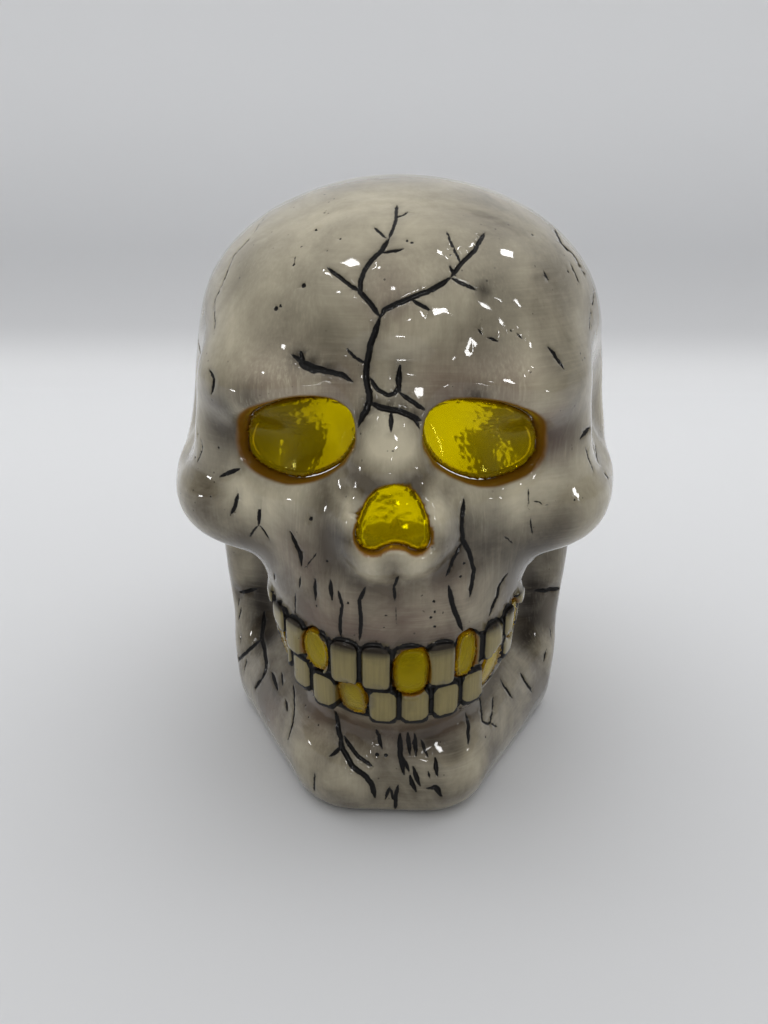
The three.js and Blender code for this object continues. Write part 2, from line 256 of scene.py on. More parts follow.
def archPlace(number, inset):
    # place and outward turn on the tooth arch, at a number of teeth from the middle
    halfWidth = arch["width"] / 2 - inset
    halfDepth = arch["front"] - arch["middle"] - inset
    stride = arch["pitch"] / arch["steps"]
    angle = 0
    for _ in range(round(abs(number) * arch["steps"])):
        angle += stride / math.hypot(halfWidth * math.cos(angle), halfDepth * math.sin(angle))
    side = math.copysign(1, number)
    x = skull["faceShift"] + side * halfWidth * math.sin(angle)
    y = -arch["middle"] - halfDepth * math.cos(angle)
    return x, y, side * math.atan2(math.sin(angle) / halfWidth, math.cos(angle) / halfDepth)


def toothPlace(number, upper):
    # the bite rises and the teeth get shorter towards the back of the arch
    last = (arch["teeth"] - 1) / 2
    share = abs(number / last) ** arch["bitePower"]
    x, y, turn = archPlace(number, 0 if upper else arch["lowerInset"])
    row = "upper" if upper else "lower"
    height = arch[row] * (1 - arch[row + "Loss"] * share)
    bite = arch["bite"] + arch["biteRise"] * share
    z = bite + (height / 2 if upper else -height / 2)
    return {"x": x, "y": y, "z": z, "turn": turn, "height": height}


def teethList():
    teeth = []
    for i in range(arch["teeth"]):
        number = i - (arch["teeth"] - 1) / 2
        teeth.append({"upper": True, **toothPlace(number, True)})
        teeth.append({"upper": False, **toothPlace(number + arch["lowerShift"], False)})
    return teeth


teeth = teethList()


def toothPlane(points, tooth):
    # sideways, outward and upward places from the middle of a tooth
    c, s = math.cos(tooth["turn"]), math.sin(tooth["turn"])
    dx, dy = points[:, 0] - tooth["x"], points[:, 1] - tooth["y"]
    return dx * c + dy * s, dx * s - dy * c, points[:, 2] - tooth["z"]


def toothEdge(points, tooth):
    # distance to the rounded outline of the tooth, seen from in front of it
    side, _, up = toothPlane(points, tooth)
    half = arch["fill"] * arch["pitch"] / 2
    tall = tooth["height"] / 2 - arch["short"]
    if tooth["upper"]:
        up = up + arch["gumArch"] * (side / half) ** 2 * (up > 0)
    corner = arch["corner"]
    a, b = np.abs(side) - (half - corner), np.abs(up) - (tall - corner)
    return np.hypot(np.maximum(a, 0), np.maximum(b, 0)) + np.minimum(np.maximum(a, b), 0) - corner


def toothDistance(points, tooth):
    # distance to a tooth, whose face curves back towards its sides and ends
    side, out, up = toothPlane(points, tooth)
    across, along = np.abs(side) / (arch["pitch"] / 2), np.abs(up) / (tooth["height"] / 2)
    belly = arch["belly"] * across ** 3 + arch["belly"] * along ** 4
    face = np.maximum(out + belly - arch["proud"], -arch["deep"] - out)
    return softMax(toothEdge(points, tooth), face, arch["bevel"])


def nearTeeth(points):
    low = arch["bite"] - arch["lower"] - arch["nearUp"]
    high = arch["bite"] + arch["upper"] + arch["nearUp"]
    front = points[:, 1] < arch["nearBack"] - arch["middle"]
    return (points[:, 2] > low) & (points[:, 2] < high) & front


def outerClay(points):
    return clay(points, headShares), clay(points, jawShares)


def withTeeth(points, total):
    near = np.flatnonzero(nearTeeth(points) & (np.abs(total) < arch["nearSkin"]))
    if len(near):
        part = points[near]
        nearest = np.full(len(near), 99.0)
        for tooth in teeth:
            nearest = np.minimum(nearest, toothDistance(part, tooth))
        total = total.copy()
        total[near] = softMin(total[near], nearest, arch["blend"])
    return total


# Openings. Each gives the distance to its outline, seen along the way that it is cut.
noseCurves = [
    ((0.55, 1), (1, 0.05), (1, -0.5)),
    ((1, -0.95), (0.7, -1.08), (0.45, -0.85)),
    ((0.25, -0.65), (-0.1, -0.65), (-0.3, -0.85)),
    ((-0.6, -1.12), (-1, -0.95), (-1, -0.5)),
    ((-1, 0.05), (-0.55, 1), (0, 1)),
]


def toothCurves(square):
    return [
        ((square, 1), (1, square), (1, 0)),
        ((1, -square), (square, -1), (0, -1)),
        ((-square, -1), (-1, -square), (-1, 0)),
        ((-1, square), (-square, 1), (0, 1)),
    ]


def outlineOf(curves, halfX, halfZ):
    start, outline = np.array([0.0, 1.0]), []
    for first, second, end in curves:
        a, b, c = np.array(first), np.array(second), np.array(end, float)
        for t in np.linspace(0, 1, 12, endpoint=False):
            u = 1 - t
            outline.append(u ** 3 * start + 3 * u ** 2 * t * a + 3 * u * t * t * b + t ** 3 * c)
        start = c
    return np.array(outline) * (halfX, halfZ)


def outlineDistance(x, z, line):
    best = np.full(len(x), 1e9)
    inside = np.zeros(len(x), bool)
    for (ax, az), (bx, bz) in zip(line, np.roll(line, -1, axis=0)):
        ex, ez = bx - ax, bz - az
        t = np.clip(((x - ax) * ex + (z - az) * ez) / (ex * ex + ez * ez), 0, 1)
        best = np.minimum(best, np.hypot(x - ax - t * ex, z - az - t * ez))
        crosses = (az > z) != (bz > z)
        inside ^= crosses & (x < ax + (z - az) / (ez if abs(ez) > 1e-9 else 1e-9) * ex)
    return np.where(inside, -best, best)


def ovalDistance(x, z, halfX, halfZ):
    reach = np.hypot(x / halfX, z / halfZ)
    slope = np.hypot(x / halfX ** 2, z / halfZ ** 2)
    return reach * (reach - 1) / np.maximum(slope, 1e-6)


# number along the arch, upper row or not, width and height in shares of the tooth, squareness, rise in mm
openTeeth = {
    "lower_left_back_tooth_window": (-4.5, False, 0.7, 1.15, 0.6, -0.9),
    "upper_left_canine_window": (-2.65, True, 1.06, 0.97, 0.6, -0.6),
    "lower_left_incisor_window": (-1.36, False, 0.97, 1.08, 0.8, -0.3),
    "upper_right_incisor_window": (0.6, True, 1.1, 1.09, 0.75, -2),
    "upper_right_canine_window": (2.45, True, 0.77, 1.08, 0.75, -0.4),
    "lower_right_premolar_window": (3.65, False, 1, 1.3, 0.6, 0.4),
    "upper_right_back_tooth_window": (5, True, 0.76, 1.6, 0.6, -3.5),
}


def openingList():
    openings = {}
    for name, side in (("left_eye_window", -1), ("right_eye_window", 1)):
        openings[name] = {
            "kind": "eye", "x": side * eyes["spacing"] / 2, "y": -eyes["front"], "z": eyes["height"],
            "turn": math.radians(side * eyes["turn"]), "tilt": math.radians(-side * eyes["droop"]),
            "halfX": eyes["width"] / 2, "halfZ": eyes["opening"] / 2, "rim": eyes["rim"],
        }
    openings["nose_window"] = {
        "kind": "nose", "x": skull["faceShift"], "y": -nose["front"], "z": nose["height"],
        "turn": 0, "tilt": 0, "halfX": nose["width"] / 2, "halfZ": nose["opening"] / 2, "rim": nose["rim"],
        "line": outlineOf(noseCurves, nose["width"] / 2, nose["opening"] / 2),
    }
    for name, (number, upper, wide, tall, square, rise) in openTeeth.items():
        place = toothPlace(number, upper)
        halfX, halfZ = wide * arch["pitch"] / 2, tall * place["height"] / 2
        openings[name] = {
            "kind": "tooth", "x": place["x"], "y": place["y"], "z": place["z"] + rise,
            "turn": place["turn"], "tilt": 0, "halfX": halfX, "halfZ": halfZ, "rim": arch["rim"],
            "line": outlineOf(toothCurves(square), halfX, halfZ),
        }
    return openings


openings = openingList()


def openingEdge(points, hole):
    dx, dy, dz = points[:, 0] - hole["x"], points[:, 1] - hole["y"], points[:, 2] - hole["z"]
    c, s = math.cos(hole["turn"]), math.sin(hole["turn"])
    side = dx * c + dy * s
    ct, st = math.cos(hole["tilt"]), math.sin(hole["tilt"])
    x, z = side * ct + dz * st, -side * st + dz * ct
    if "line" in hole:
        return outlineDistance(x, z, hole["line"])
    return ovalDistance(x, z, hole["halfX"], hole["halfZ"])


def nearOpening(points, hole, margin):
    dx, dy, dz = points[:, 0] - hole["x"], points[:, 1] - hole["y"], points[:, 2] - hole["z"]
    reach = max(hole["halfX"], hole["halfZ"]) + margin
    return (np.hypot(dx, dz) < reach * reaches["spare"]) & (np.abs(dy) < reaches["deep"])


def doorDistance(points):
    x, y, z = points.T
    radius = door["width"] / 2
    spring = door["top"] - radius
    sides = np.where(z > spring, np.hypot(x, z - spring), np.abs(x)) - radius
    doorway = softMax(sides, skull["floor"] - z, door["sillFillet"])
    return softMax(doorway, door["from"] - y, door["backFillet"])


def casting(points):
    # signed distance to the whole casting, negative inside its wall
    head, jaw = outerClay(points)
    outer = withTeeth(points, softMin(head, jaw, skull["jawFillet"]))
    inner = softMin(head, jaw, skull["cavityFillet"]) + skull["wall"]
    cavity = softMax(inner, skull["floor"] - points[:, 2], door["sillFillet"])
    solid = softMax(outer, -cavity, skull["innerRound"])
    back = np.flatnonzero(points[:, 1] > door["from"] - door["near"])
    solid[back] = softMax(solid[back], -doorDistance(points[back]), skull["doorRound"])
    for hole in openings.values():
        near = np.flatnonzero(nearOpening(points, hole, reaches["cut"]))
        if len(near):
            solid[near] = softMax(solid[near], -openingEdge(points[near], hole), hole["rim"])
    return softMax(solid, -points[:, 2], skull["baseRound"]) + skull["skinInset"]


def outside(points):
    # the skin without its openings, to draw marks on
    head, jaw = outerClay(points)
    return withTeeth(points, softMin(head, jaw, skull["jawFillet"]))


def slopeOf(field, points, value):
    step = 0.05
    slope = np.empty_like(points)
    for axis in range(3):
        moved = points.copy()
        moved[:, axis] += step
        slope[:, axis] = (field(moved) - value) / step
    return slope


def settle(field, points, rounds, most):
    # moves points along the slope of a field until they lie on its zero
    for _ in range(rounds):
        value = field(points)
        slope = slopeOf(field, points, value)
        square = np.maximum((slope ** 2).sum(axis=1), 0.2)
        step = (value / square)[:, None] * slope
        length = np.linalg.norm(step, axis=1, keepdims=True)
        points = points - step * np.minimum(1, most / np.maximum(length, 1e-9))
    return points


def castRays(field, start, direction, reach, rounds=70):
    # walks along rays to a field's zero
    travel = np.full(len(direction), float(reach))
    alive = np.arange(len(direction))
    for _ in range(rounds):
        gap = field(start[alive] + direction[alive] * travel[alive, None])
        travel[alive] += gap * walking["share"]
        alive = alive[(np.abs(gap) > walking["there"]) & (travel[alive] < walking["lost"])]
        if not len(alive):
            break
    return start + direction * travel[:, None], travel < walking["lost"]


def addPiece(name, data, at=None, target=None):
    # an object in the scene; a camera or a lamp also has its place and what it points at
    piece = bpy.data.objects.new(name, data)
    bpy.context.scene.collection.objects.link(piece)
    if target is not None:
        piece.location = at
        piece.rotation_mode = "QUATERNION"
        piece.rotation_quaternion = (Vector(target) - Vector(at)).to_track_quat("-Z", "Y")
    return piece


# Camera of the photograph
def cameraAxes():
    place, target = np.array(photo["cameraAt"]), np.array(photo["lookAt"])
    forward = (target - place) / np.linalg.norm(target - place)
    right = np.cross(forward, (0, 0, 1))
    right /= np.linalg.norm(right)
    return place, forward, right, np.cross(right, forward)


def pixelRays(pixels):
    place, forward, right, up = cameraAxes()
    u = (pixels[:, 0] - photo["width"] / 2) / photo["focalPixels"]
    v = (pixels[:, 1] - photo["height"] / 2) / photo["focalPixels"]
    rays = forward + u[:, None] * right - v[:, None] * up
    return np.tile(place, (len(pixels), 1)), rays / np.linalg.norm(rays, axis=1, keepdims=True)


def makeCamera():
    data = bpy.data.cameras.new("camera")
    data.sensor_width = photo["sensor"]
    data.lens = photo["focalPixels"] / photo["height"] * photo["sensor"]
    data.clip_start, data.clip_end = 0.01, 10
    place = (np.array(photo["cameraAt"]) + clayShift) * mm
    target = (np.array(photo["lookAt"]) + clayShift) * mm
    bpy.context.scene.camera = addPiece("camera", data, place, target)


makeCamera()
print("camera placed")


# Marks of the face: width in mm, then pixels of the photograph along the mark
crackPixels = [
    (1.65, [(367, 414), (369, 400), (366, 380), (367, 362), (370, 345), (374, 334), (380, 317)]),
    (1.35, [(380, 317), (371, 304), (360, 292), (360, 282), (364, 270), (371, 260), (382, 249),
        (389, 238)]),
    (1, [(389, 238), (393, 228), (396, 218), (397, 204)]),
    (0.7, [(395, 217), (403, 214), (409, 210)]),
    (1.1, [(360, 292), (346, 282), (336, 274), (327, 267)]),
    (0.8, [(387, 238), (380, 232), (373, 226)]),
    (1, [(381, 252), (390, 251), (404, 248)]),
    (1.45, [(380, 318), (384, 310), (396, 304), (411, 298), (434, 288), (451, 277)]),
    (1.2, [(451, 277), (461, 263), (475, 250), (485, 232)]),
    (0.85, [(461, 263), (454, 248), (447, 231)]),
    (1.1, [(451, 277), (464, 283), (477, 290)]),
    (1.1, [(411, 299), (421, 305), (432, 311)]),
    (1.3, [(450, 265), (453, 271), (456, 275)]),
    (1, [(346, 348), (353, 357), (366, 364)]),
    (2.3, [(300, 352), (302, 363), (313, 369), (329, 371)]),
    (1.45, [(291, 354), (302, 362), (313, 369), (329, 372), (342, 375), (353, 382)]),
    (1.85, [(366, 380), (369, 392), (369, 403), (363, 415), (357, 427)]),
    (1.2, [(369, 377), (377, 389), (388, 395), (396, 392), (399, 383)]),
    (1.95, [(400, 366), (399, 380), (400, 391)]),
    (1.3, [(399, 392), (409, 399), (419, 406), (427, 411)]),
    (1.75, [(369, 402), (382, 408), (396, 410), (410, 415), (423, 421)]),
    (1.1, [(408, 414), (416, 420), (421, 430)]),
    (1.3, [(391, 411), (391, 421), (391, 432)]),
    (1.1, [(207, 369), (211, 378), (208, 395)]),
    (0.65, [(200, 438), (202, 448), (196, 463)]),
    (1.3, [(219, 477), (228, 473), (240, 469)]),
    (1.3, [(238, 493), (235, 506), (230, 516)]),
    (1.3, [(260, 502), (259, 513), (258, 526)]),
    (0.8, [(258, 525), (253, 531), (249, 538)]),
    (0.8, [(258, 525), (264, 532), (269, 541)]),
    (1.5, [(289, 532), (293, 541), (299, 553), (301, 566)]),
    (0.5, [(316, 553), (311, 560), (304, 569)]),
    (1.15, [(464, 544), (456, 560), (447, 578)]),
    (1.5, [(464, 499), (464, 520), (465, 541), (472, 556), (475, 571), (470, 597)]),
    (1.45, [(449, 586), (451, 597), (454, 610), (463, 631)]),
    (1.45, [(508, 574), (501, 584), (498, 596), (490, 616)]),
    (0.65, [(505, 537), (510, 540), (514, 545)]),
    (0.6, [(528, 488), (529, 510), (533, 535)]),
    (0.7, [(533, 501), (541, 503), (550, 506)]),
    (1.75, [(591, 428), (586, 434), (581, 439)]),
    (0.85, [(596, 444), (598, 460), (604, 471), (610, 479)]),
    (0.65, [(586, 447), (589, 458), (595, 473)]),
    (0.6, [(572, 444), (573, 452)]),
    (1.45, [(550, 346), (557, 353), (562, 360), (567, 368)]),
    (0.45, [(323, 182), (306, 188), (289, 195), (271, 209), (260, 222), (253, 233)]),
    (0.6, [(249, 238), (233, 255), (222, 283), (214, 300), (214, 330)]),
    (0.5, [(506, 188), (513, 195), (527, 204), (542, 217), (556, 229)]),
    (1.1, [(556, 229), (562, 243), (574, 254), (586, 274)]),
    (0.8, [(570, 261), (575, 271), (580, 283)]),
    (0.85, [(544, 270), (550, 281)]),
    (0.7, [(593, 287), (595, 295), (592, 313), (590, 330)]),
    (1.6, [(238, 593), (246, 592), (257, 589)]),
    (0.65, [(238, 598), (238, 607)]),
    (0.8, [(241, 607), (240, 613), (238, 620)]),
    (0.85, [(240, 631), (240, 643)]),
    (1.6, [(237, 660), (247, 651), (260, 640)]),
    (0.7, [(246, 658), (244, 672)]),
    (1.85, [(264, 612), (261, 638), (264, 650), (266, 663), (263, 675), (254, 688)]),
    (1.6, [(271, 672), (274, 680), (277, 690)]),
    (1, [(281, 672), (282, 686)]),
    (1.15, [(285, 699), (287, 711)]),
    (0.85, [(293, 684), (294, 705), (292, 724), (287, 740)]),
    (0.85, [(273, 572), (274, 581)]),
    (0.85, [(301, 576), (300, 588)]),
    (0.7, [(295, 593), (294, 615)]),
    (1.3, [(315, 579), (316, 600)]),
    (1.35, [(330, 580), (332, 600)]),
    (1.15, [(338, 590), (342, 606), (340, 620), (340, 638)]),
    (1.2, [(365, 588), (359, 601), (361, 620), (359, 641)]),
    (0.95, [(399, 577), (394, 589), (395, 602)]),
    (0.45, [(395, 602), (397, 626)]),
    (1.75, [(535, 591), (547, 591), (560, 589)]),
    (0.95, [(547, 649), (544, 662)]),
    (0.6, [(550, 627), (552, 639)]),
    (1.35, [(501, 679), (506, 688), (513, 698)]),
    (1.35, [(521, 673), (527, 683), (534, 693)]),
    (0.95, [(480, 694), (482, 710), (483, 721), (490, 724), (493, 713), (494, 696)]),
    (0.85, [(491, 723), (498, 727)]),
    (1.45, [(466, 713), (469, 725), (468, 744)]),
    (1.75, [(335, 712), (339, 734), (343, 749), (352, 765), (366, 776), (372, 784), (375, 798)]),
    (1.45, [(341, 745), (337, 751), (330, 756)]),
    (1.3, [(344, 736), (350, 746), (358, 756), (373, 767)]),
    (0.8, [(315, 772), (314, 791)]),
    (1.45, [(376, 731), (379, 740), (382, 749)]),
    (1.75, [(400, 735), (400, 748), (401, 760), (404, 775)]),
    (1.3, [(402, 756), (409, 772)]),
    (1.45, [(408, 734), (410, 755)]),
    (1.45, [(415, 735), (416, 756)]),
    (1.2, [(421, 740), (425, 750), (428, 757)]),
    (1.6, [(413, 767), (416, 776), (420, 786)]),
    (1.85, [(410, 776), (412, 784), (416, 792)]),
    (1.75, [(435, 758), (437, 775)]),
    (1.1, [(428, 771), (430, 778)]),
    (2.15, [(427, 788), (435, 786), (441, 795)]),
    (1, [(390, 787), (387, 794), (385, 801)]),
    (1.3, [(398, 786), (396, 796), (395, 810)]),
    (1, [(390, 788), (394, 803)]),
    (0.95, [(411, 702), (411, 709)]),
    (0.7, [(383, 714), (382, 719)]),
    (1.15, [(518, 333), (523, 338)]),
    (1.2, [(489, 337), (499, 341)]),
    (1, [(479, 328), (483, 334)]),
    (0.8, [(472, 349), (477, 352)]),
]
# Pits: radius in mm, then their pixels
pitPixels = [
    (0.68, [(303, 285), (275, 308), (377, 755), (386, 756), (309, 519)]),
    (0.52, [(316, 229), (293, 264), (280, 305), (461, 577), (465, 564), (431, 618), (435, 627),
        (434, 602)]),
    (0.44, [(294, 257), (324, 212), (412, 242), (407, 240), (435, 612), (423, 612), (386, 616),
        (317, 606), (348, 603), (378, 561), (326, 562), (422, 596), (197, 435), (194, 457), (218, 448),
        (533, 234), (569, 271)]),
    (0.38, [(265, 700), (269, 722), (305, 705), (308, 717), (318, 725), (486, 737), (482, 729),
        (388, 450), (393, 451), (443, 613), (469, 622), (384, 628), (357, 726), (326, 250), (340, 238),
        (352, 316), (530, 372), (210, 497), (575, 500), (583, 498), (447, 709), (441, 742), (451, 255),
        (301, 246), (512, 330)]),
]
# Airbrushed soot patches, with painted shade in the recesses and hollows they lie in: radius in mm,
# strength, then their pixels
sootAndShadePixels = [
    (6, 1.1, [(262, 592), (263, 606), (263, 620), (266, 636), (532, 588), (530, 602), (530, 618),
        (527, 634)]),
    (5, 0.7, [(453, 750), (246, 400), (223, 410), (334, 536), (466, 524), (430, 742), (400, 402),
        (361, 420), (425, 420), (239, 425)]),
    (3, 0.9, [(370, 400), (376, 404), (390, 404), (404, 408), (414, 414), (366, 410), (360, 418),
        (298, 356), (312, 362), (328, 368), (484, 290), (476, 398)]),
    (8, 0.4, [(222, 436), (566, 432), (500, 290), (245, 268), (330, 338), (566, 366), (312, 512)]),
    (4, 0.6, [(300, 360), (316, 364), (352, 580), (344, 562), (450, 566), (275, 690), (330, 644),
        (462, 548)]),
    (9, 0.55, [(492, 545), (512, 553), (534, 548), (556, 552), (476, 532), (330, 552), (228, 545)]),
    (12, 0.25, [(300, 300), (500, 255), (540, 256), (505, 320), (392, 740), (440, 740)]),
]
# Stain left thicker, above 0, or wiped off, below 0; partly painted shade in grooves and hollows and
# painted light on ridges
stainAndShadingPixels = [
    (7, -1, [(390, 430), (391, 440), (391, 448)]),
    (5, -0.2, [(368, 564), (424, 566)]),
    (5, -0.45, [(340, 490), (444, 484), (350, 500), (434, 500)]),
    (8, -0.2, [(395, 776), (392, 800), (420, 760)]),
    (8, -0.45, [(298, 500), (262, 503), (470, 500), (520, 497), (300, 386), (240, 492), (545, 492)]),
    (14, -0.2, [(300, 205), (380, 190), (270, 246), (330, 212), (350, 320), (575, 390), (430, 335),
        (215, 350)]),
    (6, 0.85, [(390, 469), (378, 474), (402, 474), (366, 484), (415, 484)]),
    (4, 0.6, [(346, 545), (350, 556), (441, 545), (438, 556), (392, 570)]),
    (9, 0.35, [(208, 500), (560, 520), (524, 560), (515, 575), (300, 592), (240, 540), (262, 690),
        (540, 690)]),
    (13, 0.27, [(395, 180), (482, 204)]),
    (12, 0.15, [(560, 290), (320, 240)]),
    (9, 0.12, [(250, 320), (385, 600)]),
    (8, 0.5, [(340, 792)]),
    (6, -0.25, [(480, 387), (388, 742), (340, 490), (444, 482)]),
    (8, 0.4, [(240, 575), (552, 610), (548, 580), (215, 420), (565, 430), (480, 385), (490, 760),
        (330, 770), (455, 790), (262, 700)]),
]
blushPixels = [
    (8, 0.6, [(290, 384), (330, 390), (265, 388), (470, 390), (510, 388), (440, 388)]),
    (7, 0.6, [(556, 440), (545, 425), (318, 622), (327, 628), (350, 626), (378, 633), (412, 625),
        (440, 640)]),
    (9, 0.4, [(300, 560), (340, 610), (400, 620), (450, 600), (390, 300), (400, 730), (440, 725),
        (350, 720), (500, 640), (320, 710), (270, 720)]),
]
# Lumps and hollows pressed into the clay: radius and height in mm, then their pixels
lumpPixels = [
    (3, -0.7, [(352, 447), (345, 468), (340, 490), (336, 510), (335, 530), (339, 552), (346, 570),
        (358, 583), (380, 589), (396, 582), (416, 581), (440, 576), (453, 562), (462, 545), (464, 528),
        (461, 511), (448, 490), (437, 468), (430, 447)]),
    (5.5, 0.7, [(354, 556), (366, 570), (430, 556), (417, 568), (352, 522), (436, 522)]),
    (5, 0.6, [(391, 430), (391, 450), (391, 470)]),
    (6, 0.7, [(264, 390), (284, 383), (304, 381), (324, 384), (342, 392), (438, 392), (458, 384),
        (480, 380), (502, 380), (524, 386)]),
    (8, -0.7, [(300, 350), (322, 356), (460, 350), (484, 344), (563, 362), (578, 385), (214, 392)]),
    (5, 0.5, [(250, 494), (272, 498), (296, 497), (466, 500), (490, 500), (514, 496)]),
    (8, -0.7, [(316, 520), (328, 538), (478, 520), (488, 540)]),
    (10, 1.1, [(344, 780), (458, 780)]),
    (4, -0.4, [(382, 762), (385, 778), (388, 796)]),
    (5, -0.3, [(360, 730), (384, 732), (410, 731), (436, 728)]),
    (3.6, 0.45, [(323, 588), (323, 606), (347, 592), (349, 612), (378, 600), (379, 620), (417, 598),
        (418, 618), (460, 592), (462, 612), (302, 582)]),
    (7, 1, [(243, 574), (548, 575)]),
    (3, -0.8, [(238, 594), (250, 593), (540, 592), (552, 592)]),
]


# how the marks are laid: spots along a line, in pixels or mm, and the hand's tremor
drawing = {"pixelStep": 1.5, "spotStep": 0.25, "tremor": 0.35, "tremorShare": 0.25, "tremorLength": 7}


def lengthsAlong(line):
    return np.concatenate([[0], np.cumsum(np.linalg.norm(np.diff(line, axis=0), axis=1))])


def evenSpots(line, count):
    # how far along each spot is, and the same line with its spots evenly spaced
    run = lengthsAlong(line)
    at = np.linspace(0, run[-1], count)
    return at, np.stack([np.interp(at, run, line[:, axis]) for axis in range(line.shape[1])], axis=1)


def drawMarks(field):
    # every crack laid on the skin as a row of spots, with its width
    rng = random.Random(11)
    marks = []
    for width, pixels in crackPixels:
        line = np.array(pixels, float)
        count = max(4, int(lengthsAlong(line)[-1] / drawing["pixelStep"]))
        at, fine = evenSpots(line, count)
        wobble = drawing["tremor"] + drawing["tremorShare"] * width
        phase = rng.uniform(0, 50)
        for i in range(1, count - 1):
            along = at[i] / drawing["tremorLength"]
            fine[i, 0] += wobble * noise.noise(Vector((along, phase, 0)))
            fine[i, 1] += wobble * noise.noise(Vector((along, phase, 9)))
        marks.append((width, skinSpots(fine, field)))
    return marks


def skinSpots(pixels, field):
    start, rays = pixelRays(np.array(pixels, float))
    spots, hit = castRays(field, start, rays, 90)
    return spots[hit]


def patchesOn(points, patches, field):
    # strength or height at each point; spots of one sign don't pile up along a row
    high, low = np.zeros(len(points)), np.zeros(len(points))
    for radius, strength, pixels in patches:
        for spot in skinSpots(pixels, field):
            rise = strength * np.exp(-(np.linalg.norm(points - spot, axis=1) / radius) ** 2)
            high, low = np.maximum(high, rise), np.minimum(low, rise)
    return high + low


# how a hidden crack walks: its stride and sway in degrees, and its branches
walk = {
    "stride": 1.2,
    "sway": 11,
    "branchChance": 0.055,
    "branchTurn": (32, 60),
    "branchShare": (0.25, 0.5),
    "branchWidth": 0.7,
    "branchDepth": 2,
    "core": (0, 0.03, 0.5),
    "outside": 150,
}


def walkCrack(rng, azimuth, height, heading, length, width, marks, field, depth=0):
    # a crack that nobody photographed, walked over the back and sides; azimuth 0 is the face
    core = np.array(walk["core"]) * skullSize
    path, a, e = [], azimuth, height
    for _ in range(max(3, int(length / walk["stride"]))):
        path.append((a, e))
        heading += rng.gauss(0, walk["sway"])
        a += walk["stride"] * math.cos(math.radians(heading)) / max(0.3, math.cos(math.radians(e)))
        e += walk["stride"] * math.sin(math.radians(heading))
        if depth < walk["branchDepth"] and rng.random() < walk["branchChance"]:
            turn = rng.choice((-1, 1)) * rng.uniform(*walk["branchTurn"])
            share = rng.uniform(*walk["branchShare"])
            walkCrack(rng, a, e, heading + turn, length * share, width * walk["branchWidth"], marks, field,
                      depth + 1)
    a, e = np.radians(np.array(path)).T
    rays = np.stack([np.sin(a) * np.cos(e), -np.cos(a) * np.cos(e), np.sin(e)], axis=1)
    spots, _ = castRays(field, core + rays * walk["outside"], -rays, 10)
    marks.append((width, spots))


# Cracks at the back, sides and top: azimuth and height in degrees, heading, length in degrees, width in mm
hiddenCracks = [
    (112, 44, 200, 30, 1.3),
    (140, 62, -60, 50, 1.5),
    (178, 30, 75, 40, 1.2),
    (-150, 58, -105, 46, 1.4),
    (-112, 34, -40, 34, 1.2),
    (118, 2, 60, 26, 1.1),
    (-122, 4, 130, 26, 1.1),
    (150, 20, -80, 22, 0.9),
    (80, -32, 100, 18, 1.0),
    (-110, -40, 80, 16, 0.9),
    (128, -34, 110, 16, 0.9),
    (160, 72, 150, 22, 0.8),
]


# how a crack or pit is cut and inked, in mm and in shares of its width or radius
cut = {
    "taper": 1.6,
    "endShare": 0.35,
    "deepest": 0.75,
    "deepShare": 0.42,
    "lip": 0.1,
    "lipAt": 1.55,
    "lipSpread": 0.4,
    "floor": 0.1,
    "brim": 1.25,
    "inkShare": 0.95,
    "halo": 1.3,
    "reach": 2.2,
    "inkReach": 1.5,
    "pitDeep": 0.7,
    "pitBrim": 1.3,
    "pitReach": 3,
    "far": 9.0,
}


def pointsNear(points, spots, reach):
    low, high = spots.min(axis=0) - reach, spots.max(axis=0) + reach
    near = np.flatnonzero(((points > low) & (points < high)).all(axis=1))
    return [near[begin:begin + 2000] for begin in range(0, len(near), 2000)]


def gapsTo(points, spots):
    return np.sqrt(((points[:, None, :] - spots[None, :, :]) ** 2).sum(axis=2))


def fieldDistance(points, spots, reach):
    # distance from each point to the nearest spot, worked out only within reach
    best = np.full(len(points), 99.0)
    for part in pointsNear(points, spots, reach):
        best[part] = gapsTo(points[part], spots).min(axis=1)
    return best


def marksOn(points, marks, pits):
    # groove depth in mm, distance in mm to the ink's edge, below 0 in the ink, and the soot round it
    groove, ink, halo = np.zeros(len(points)), np.full(len(points), cut["far"]), np.zeros(len(points))
    for width, spots in marks:
        if len(spots) < 2:
            continue
        spots = evenSpots(spots, int(lengthsAlong(spots)[-1] / drawing["spotStep"]) + 2)[1]
        run = lengthsAlong(spots)
        end = np.minimum(run, run[-1] - run)
        full = np.clip(end / (cut["taper"] * width), 0, 1)
        half = width / 2 * (cut["endShare"] + (1 - cut["endShare"]) * full)
        deep = min(cut["deepest"], cut["deepShare"] * width)
        for part in pointsNear(points, spots, max(cut["reach"] * width, width / 2 + cut["inkReach"])):
            gap = gapsTo(points[part], spots)
            share = (gap / half[None, :]).min(axis=1)
            nearest = gap.min(axis=1)
            lip = cut["lip"] * np.exp(-((share - cut["lipAt"]) / cut["lipSpread"]) ** 2)
            bed = deep * (1 - smoothStep(cut["floor"], cut["brim"], share)) - lip
            groove[part] = np.maximum(groove[part], bed)
            ink[part] = np.minimum(ink[part], (gap - cut["inkShare"] * half[None, :]).min(axis=1))
            dusty = np.exp(-(nearest / (cut["halo"] * width)) ** 2) * min(1, width / 2)
            halo[part] = np.maximum(halo[part], dusty)
    for radius, spots in pits:
        gap = fieldDistance(points, spots, radius * cut["pitReach"] + 1)
        bed = radius * cut["pitDeep"] * (1 - smoothStep(0, cut["pitBrim"], gap / radius))
        groove = np.maximum(groove, bed)
        ink = np.minimum(ink, gap - cut["inkShare"] * radius)
    return groove, ink, halo


def meshPoints(mesh):
    co = np.empty(len(mesh.vertices) * 3)
    mesh.vertices.foreach_get("co", co)
    return co.reshape(-1, 3)


